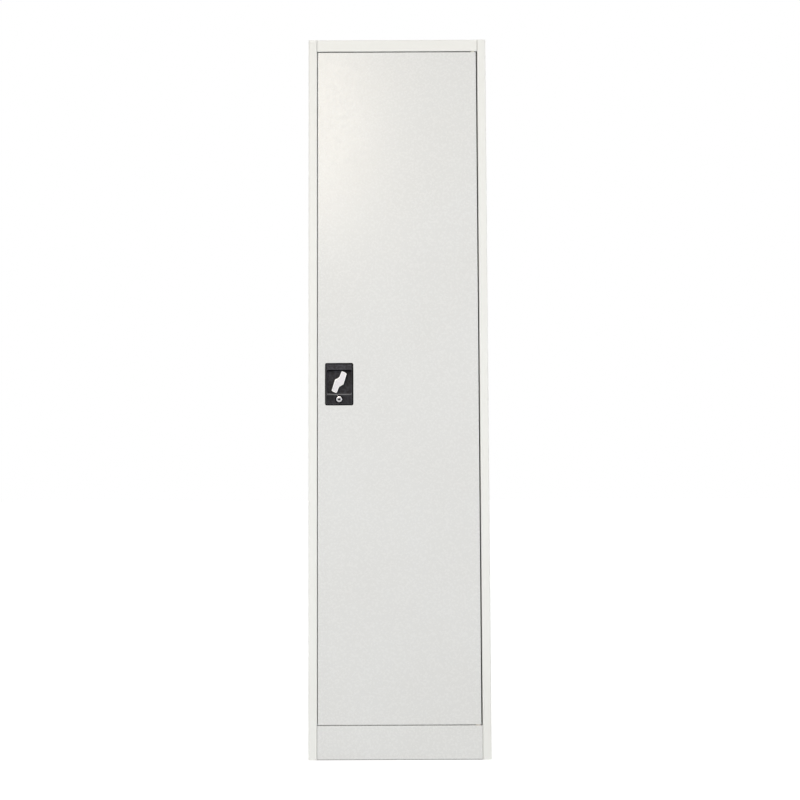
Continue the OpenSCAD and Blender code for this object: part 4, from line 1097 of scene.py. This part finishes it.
class CABINET_OT_lock_cylinder(bpy.types.Operator):
    """Lock barrel and key plug with its keyway"""
    bl_idname = "cabinet.lock_cylinder"
    bl_label = "Lock cylinder"

    def execute(self, context):
        key, coat = (PLATE_X, KEY_Z), bright_nickel()
        back, stub = [(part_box(name)[1].y - FACE) / MM for name in ("lock_barrel", "key_plug")]
        shell = new_shell()
        barrel = turned(shell, key, [
            (4.85, back), (4.85, -2.75), (5.05, -3.0), (5.5, -3.0), (7.0, -2.85), (7.2, -2.75), (7.4, -2.5),
            (7.45, -2.1), (7.45, -1.4), (7.2, -1.4), (7.2, back - 0.3), (6.9, back)], points=40)
        wall(shell, barrel[-1], barrel[0])
        made = even_shading(piece("lock_cylinder_barrel", shell, 40))
        fitted(made, coat, "door", "plated_lock_metal", "lock_barrel")

        def key_box(half_w, half_h, radius, steps=6):
            return box_outline(
                PLATE_X - half_w, KEY_Z - half_h, PLATE_X + half_w, KEY_Z + half_h, radius, steps)

        # Keyway across the plug: a flat slot with a ward on each side
        front, keyway = -2.6, 12
        ways = [(PLATE_X + x, KEY_Z + z) for x, z in (
            (-3, -1.1), (-1.9, -1.1), (-1.9, -1.9), (0.7, -1.9), (0.7, -1.1), (1.1, -1.1), (1.1, -1.5),
            (2.3, -1.5), (2.3, -1.1), (3, -1.1), (3, 1.1), (2.3, 1.1), (2.3, 1.9), (1.1, 1.9), (1.1, 1.1),
            (0.7, 1.1), (0.7, 1.5), (-1.9, 1.5), (-1.9, 1.1), (-3, 1.1))]
        shell = new_shell("grime")
        # The slot's walls and floor are painted near black as painted shade
        slot = straight(shell, ways, (front + 0.35, front + keyway), grime=1.0)
        flat(shell, slot[-1])
        # The keyway opens in a shallow dish, painted near black as painted shade
        dish = [
            ring(shell, key_box(w, h, h - 0.1), front + sunk, in_front, grime=dark)
            for w, h, sunk, dark in ((3.8, 2.2, 0.0, 0.6), (3.6, 2.0, 0.1, 1.0), (3.4, 1.95, 0.35, 1.0))]
        walls(shell, dish)
        flat(shell, dish[-1], slot[0])
        body = turned(
            shell, key, [(4.5, front), (4.72, front + 0.08), (4.8, front + 0.3), (4.8, back)], points=40)
        flat(shell, body[0], dish[0])
        # Square end for the lock cam, with the hole of its screw
        tail = straight(shell, key_box(2.5, 2.5, 0.3, 2), (back, stub))
        flat(shell, body[-1], tail[0])
        hole = turned(shell, key, [(1.5, stub), (1.5, stub - 4)], points=16)
        flat(shell, hole[-1])
        flat(shell, tail[-1], hole[0])
        made = even_shading(piece("keyed_plug", shell, 40))
        fitted(made, coat, "key_plug", "plated_lock_metal", "key_plug")
        return {"FINISHED"}


class CABINET_OT_lock_works(bpy.types.Operator):
    """Zinc plate on the lock's bars, cams, spindle, bracket and fixings"""
    bl_idname = "cabinet.lock_works"
    bl_label = "Lock works"

    def execute(self, context):
        dress(("handle_bracket", "bracket_screw", "barrel_nut", "lever_spindle", "cam_disc", "cam_pins",
               "latch_spacer", "latch_pawl", "spindle_washer", "spindle_nut", "upper_lock_bar",
               "lower_lock_bar", "lock_cam", "cam_screw"), zinc_plate())
        return {"FINISHED"}


class CABINET_OT_hinge_parts(bpy.types.Operator):
    """Zinc-plated pivot plates, bearings and pins, and nylon washers"""
    bl_idname = "cabinet.hinge_parts"
    bl_label = "Hinge parts"

    def execute(self, context):
        dress(("top_pivot_plate", "bottom_pivot_plate", "top_hinge_pin", "bottom_hinge_pin",
               "door_top_bearing", "door_bottom_bearing"), zinc_plate())
        dress(("top_hinge_washer", "bottom_hinge_washer"), natural_nylon())
        return {"FINISHED"}


class CABINET_OT_stage(bpy.types.Operator):
    """Pale floor, white surroundings, three soft lamps and the camera"""
    bl_idname = "cabinet.stage"
    bl_label = "Stage"

    def execute(self, context):
        scene = context.scene
        stage = scene.cabinet_stage
        self.light_surroundings(scene, stage)
        self.lay_floor(stage)
        for name, watts, place, aim, width, code in (
                ("key lamp", stage.key, (-1.5, -7.2, 4.15), (0.0, 0.0, 1.4), 2.1, "FFF3DF"),
                ("low lamp", stage.low, (-2.2, -1.8, 0.25), (0.0, 0.0, 0.5), 0.7, "F4F8FF"),
                ("fill lamp", stage.fill, (3.4, -2.6, 1.2), (0.0, 0.0, 0.8), 2.2, "F4F8FF")):
            lamp = bpy.data.lights.new(name, "AREA")
            lamp.shape = "SQUARE"
            lamp.size = width
            lamp.energy = watts
            lamp.color = linear(code)[:3]
            made = bpy.data.objects.new(name, lamp)
            scene.collection.objects.link(made)
            facing = (Vector(aim) - Vector(place)).to_track_quat("-Z", "Y").to_matrix().to_4x4()
            made.matrix_world = Matrix.Translation(place) @ facing
        self.set_camera(scene, stage)
        scene.view_settings.view_transform = "Standard"
        return {"FINISHED"}

    def light_surroundings(self, scene, stage):
        """White where the camera, gloss or glass sees it; softer as light on the object."""
        world = scene.world or bpy.data.worlds.new("surroundings")
        scene.world = world
        world.use_nodes = True
        tree = world.node_tree
        tree.nodes.clear()
        rays = add(tree, "ShaderNodeLightPath").outputs
        seen = rays["Is Camera Ray"]
        for name in ("Is Glossy Ray", "Is Transmission Ray"):
            either = add(tree, "ShaderNodeMath", {0: seen, 1: rays[name]}, operation="MAXIMUM")
            seen = either.outputs["Value"]
        strength = add(tree, "ShaderNodeMapRange", {
            "Value": seen, "To Min": stage.surroundings, "To Max": 1.0})
        sky = add(tree, "ShaderNodeBackground", {
            "Color": linear("FFFFFF"), "Strength": strength.outputs["Result"]})
        add(tree, "ShaderNodeOutputWorld", {"Surface": sky.outputs["Background"]})

    def lay_floor(self, stage):
        """A pale floor that runs into the white surroundings and keeps the cabinet's shadow."""
        shell = new_shell()
        half, under = 9.0, -0.0004
        corners = ((-half, -half), (half, -half), (half, half), (-half, half))
        shell.faces.new([shell.verts.new((x, y, under)) for x, y in corners])
        mesh = bpy.data.meshes.new("studio_floor")
        shell.to_mesh(mesh)
        shell.free()
        made = bpy.data.objects.new("studio_floor", mesh)
        bpy.context.scene.collection.objects.link(made)

        def build(tree, surface):
            place = add(tree, "ShaderNodeTexCoord").outputs["Object"]
            noise = add(tree, "ShaderNodeTexNoise", {"Vector": place, "Scale": 3.0, "Detail": 2.0})
            base = list(stage.floor)
            mix = add(tree, "ShaderNodeMix", {
                0: noise.outputs["Fac"], 6: base, 7: tinted(base, 0.98)}, data_type="RGBA")
            tree.links.new(mix.outputs[2], surface.inputs["Base Color"])
            # The camera alone sees it glow, so that it runs into the white round it
            seen = add(tree, "ShaderNodeLightPath").outputs["Is Camera Ray"]
            tree.links.new(product(tree, seen, 0.66), surface.inputs["Emission Strength"])

        mesh.materials.append(material("pale studio floor", build, {
            "Roughness": 0.9, "Emission Color": linear("FFFFFF")}))

    def set_camera(self, scene, stage):
        """The photograph's view: standing height, two steps from the door, a little upwards."""
        pitch, roll = math.radians(2.611), math.radians(-0.251)
        ahead = Vector((0.0, math.cos(pitch), math.sin(pitch)))
        right = Vector((1.0, 0.0, 0.0))
        level = right.cross(ahead)
        right, up = (math.cos(roll) * right + math.sin(roll) * level,
                     math.cos(roll) * level - math.sin(roll) * right)
        camera = bpy.data.cameras.new("camera")
        camera.lens = stage.lens
        camera.sensor_width = 36.0
        made = bpy.data.objects.new("camera", camera)
        scene.collection.objects.link(made)
        turn = Matrix((right, up, -ahead)).transposed().to_4x4()
        aside, distance, height = 0.0038, 2.2, 0.7973
        made.matrix_world = Matrix.Translation((aside, FACE - distance, height)) @ turn
        scene.camera = made


# Add-on

PIECES = (
    CABINET_OT_paint_panels, CABINET_OT_weld_spots, CABINET_OT_shelf_clips, CABINET_OT_door_buffers,
    CABINET_OT_bar_guides, CABINET_OT_handle_plate, CABINET_OT_turn_lever, CABINET_OT_lock_cylinder,
    CABINET_OT_lock_works, CABINET_OT_hinge_parts, CABINET_OT_stage,
)


class CABINET_PT_pieces(bpy.types.Panel):
    """Lists the cabinet's pieces and their sizes"""
    bl_idname = "CABINET_PT_pieces"
    bl_label = "Metal storage cabinet"
    bl_space_type = "VIEW_3D"
    bl_region_type = "UI"
    bl_category = "Cabinet"

    def draw(self, context):
        for operator in PIECES:
            self.layout.operator(operator.bl_idname)
        for group in ("cabinet_finishes", "cabinet_handle", "cabinet_fittings", "cabinet_stage"):
            box = self.layout.box()
            values = getattr(context.scene, group)
            for name in type(values).__annotations__:
                box.prop(values, name)


GROUPS = {
    "cabinet_finishes": CabinetFinishes, "cabinet_handle": CabinetHandle,
    "cabinet_fittings": CabinetFittings, "cabinet_stage": CabinetStage,
}


def register():
    for name, group in GROUPS.items():
        bpy.utils.register_class(group)
        setattr(bpy.types.Scene, name, PointerProperty(type=group))
    for operator in PIECES:
        bpy.utils.register_class(operator)
    bpy.utils.register_class(CABINET_PT_pieces)


def unregister():
    bpy.utils.unregister_class(CABINET_PT_pieces)
    for operator in reversed(PIECES):
        bpy.utils.unregister_class(operator)
    for name, group in GROUPS.items():
        delattr(bpy.types.Scene, name)
        bpy.utils.unregister_class(group)


def main():
    register()
    for operator in PIECES:
        group, call = operator.bl_idname.split(".")
        result = getattr(getattr(bpy.ops, group), call)()
        if result != {"FINISHED"}:
            raise RuntimeError(f"{operator.bl_label} wasn't finished")


if __name__ == "__main__":
    main()
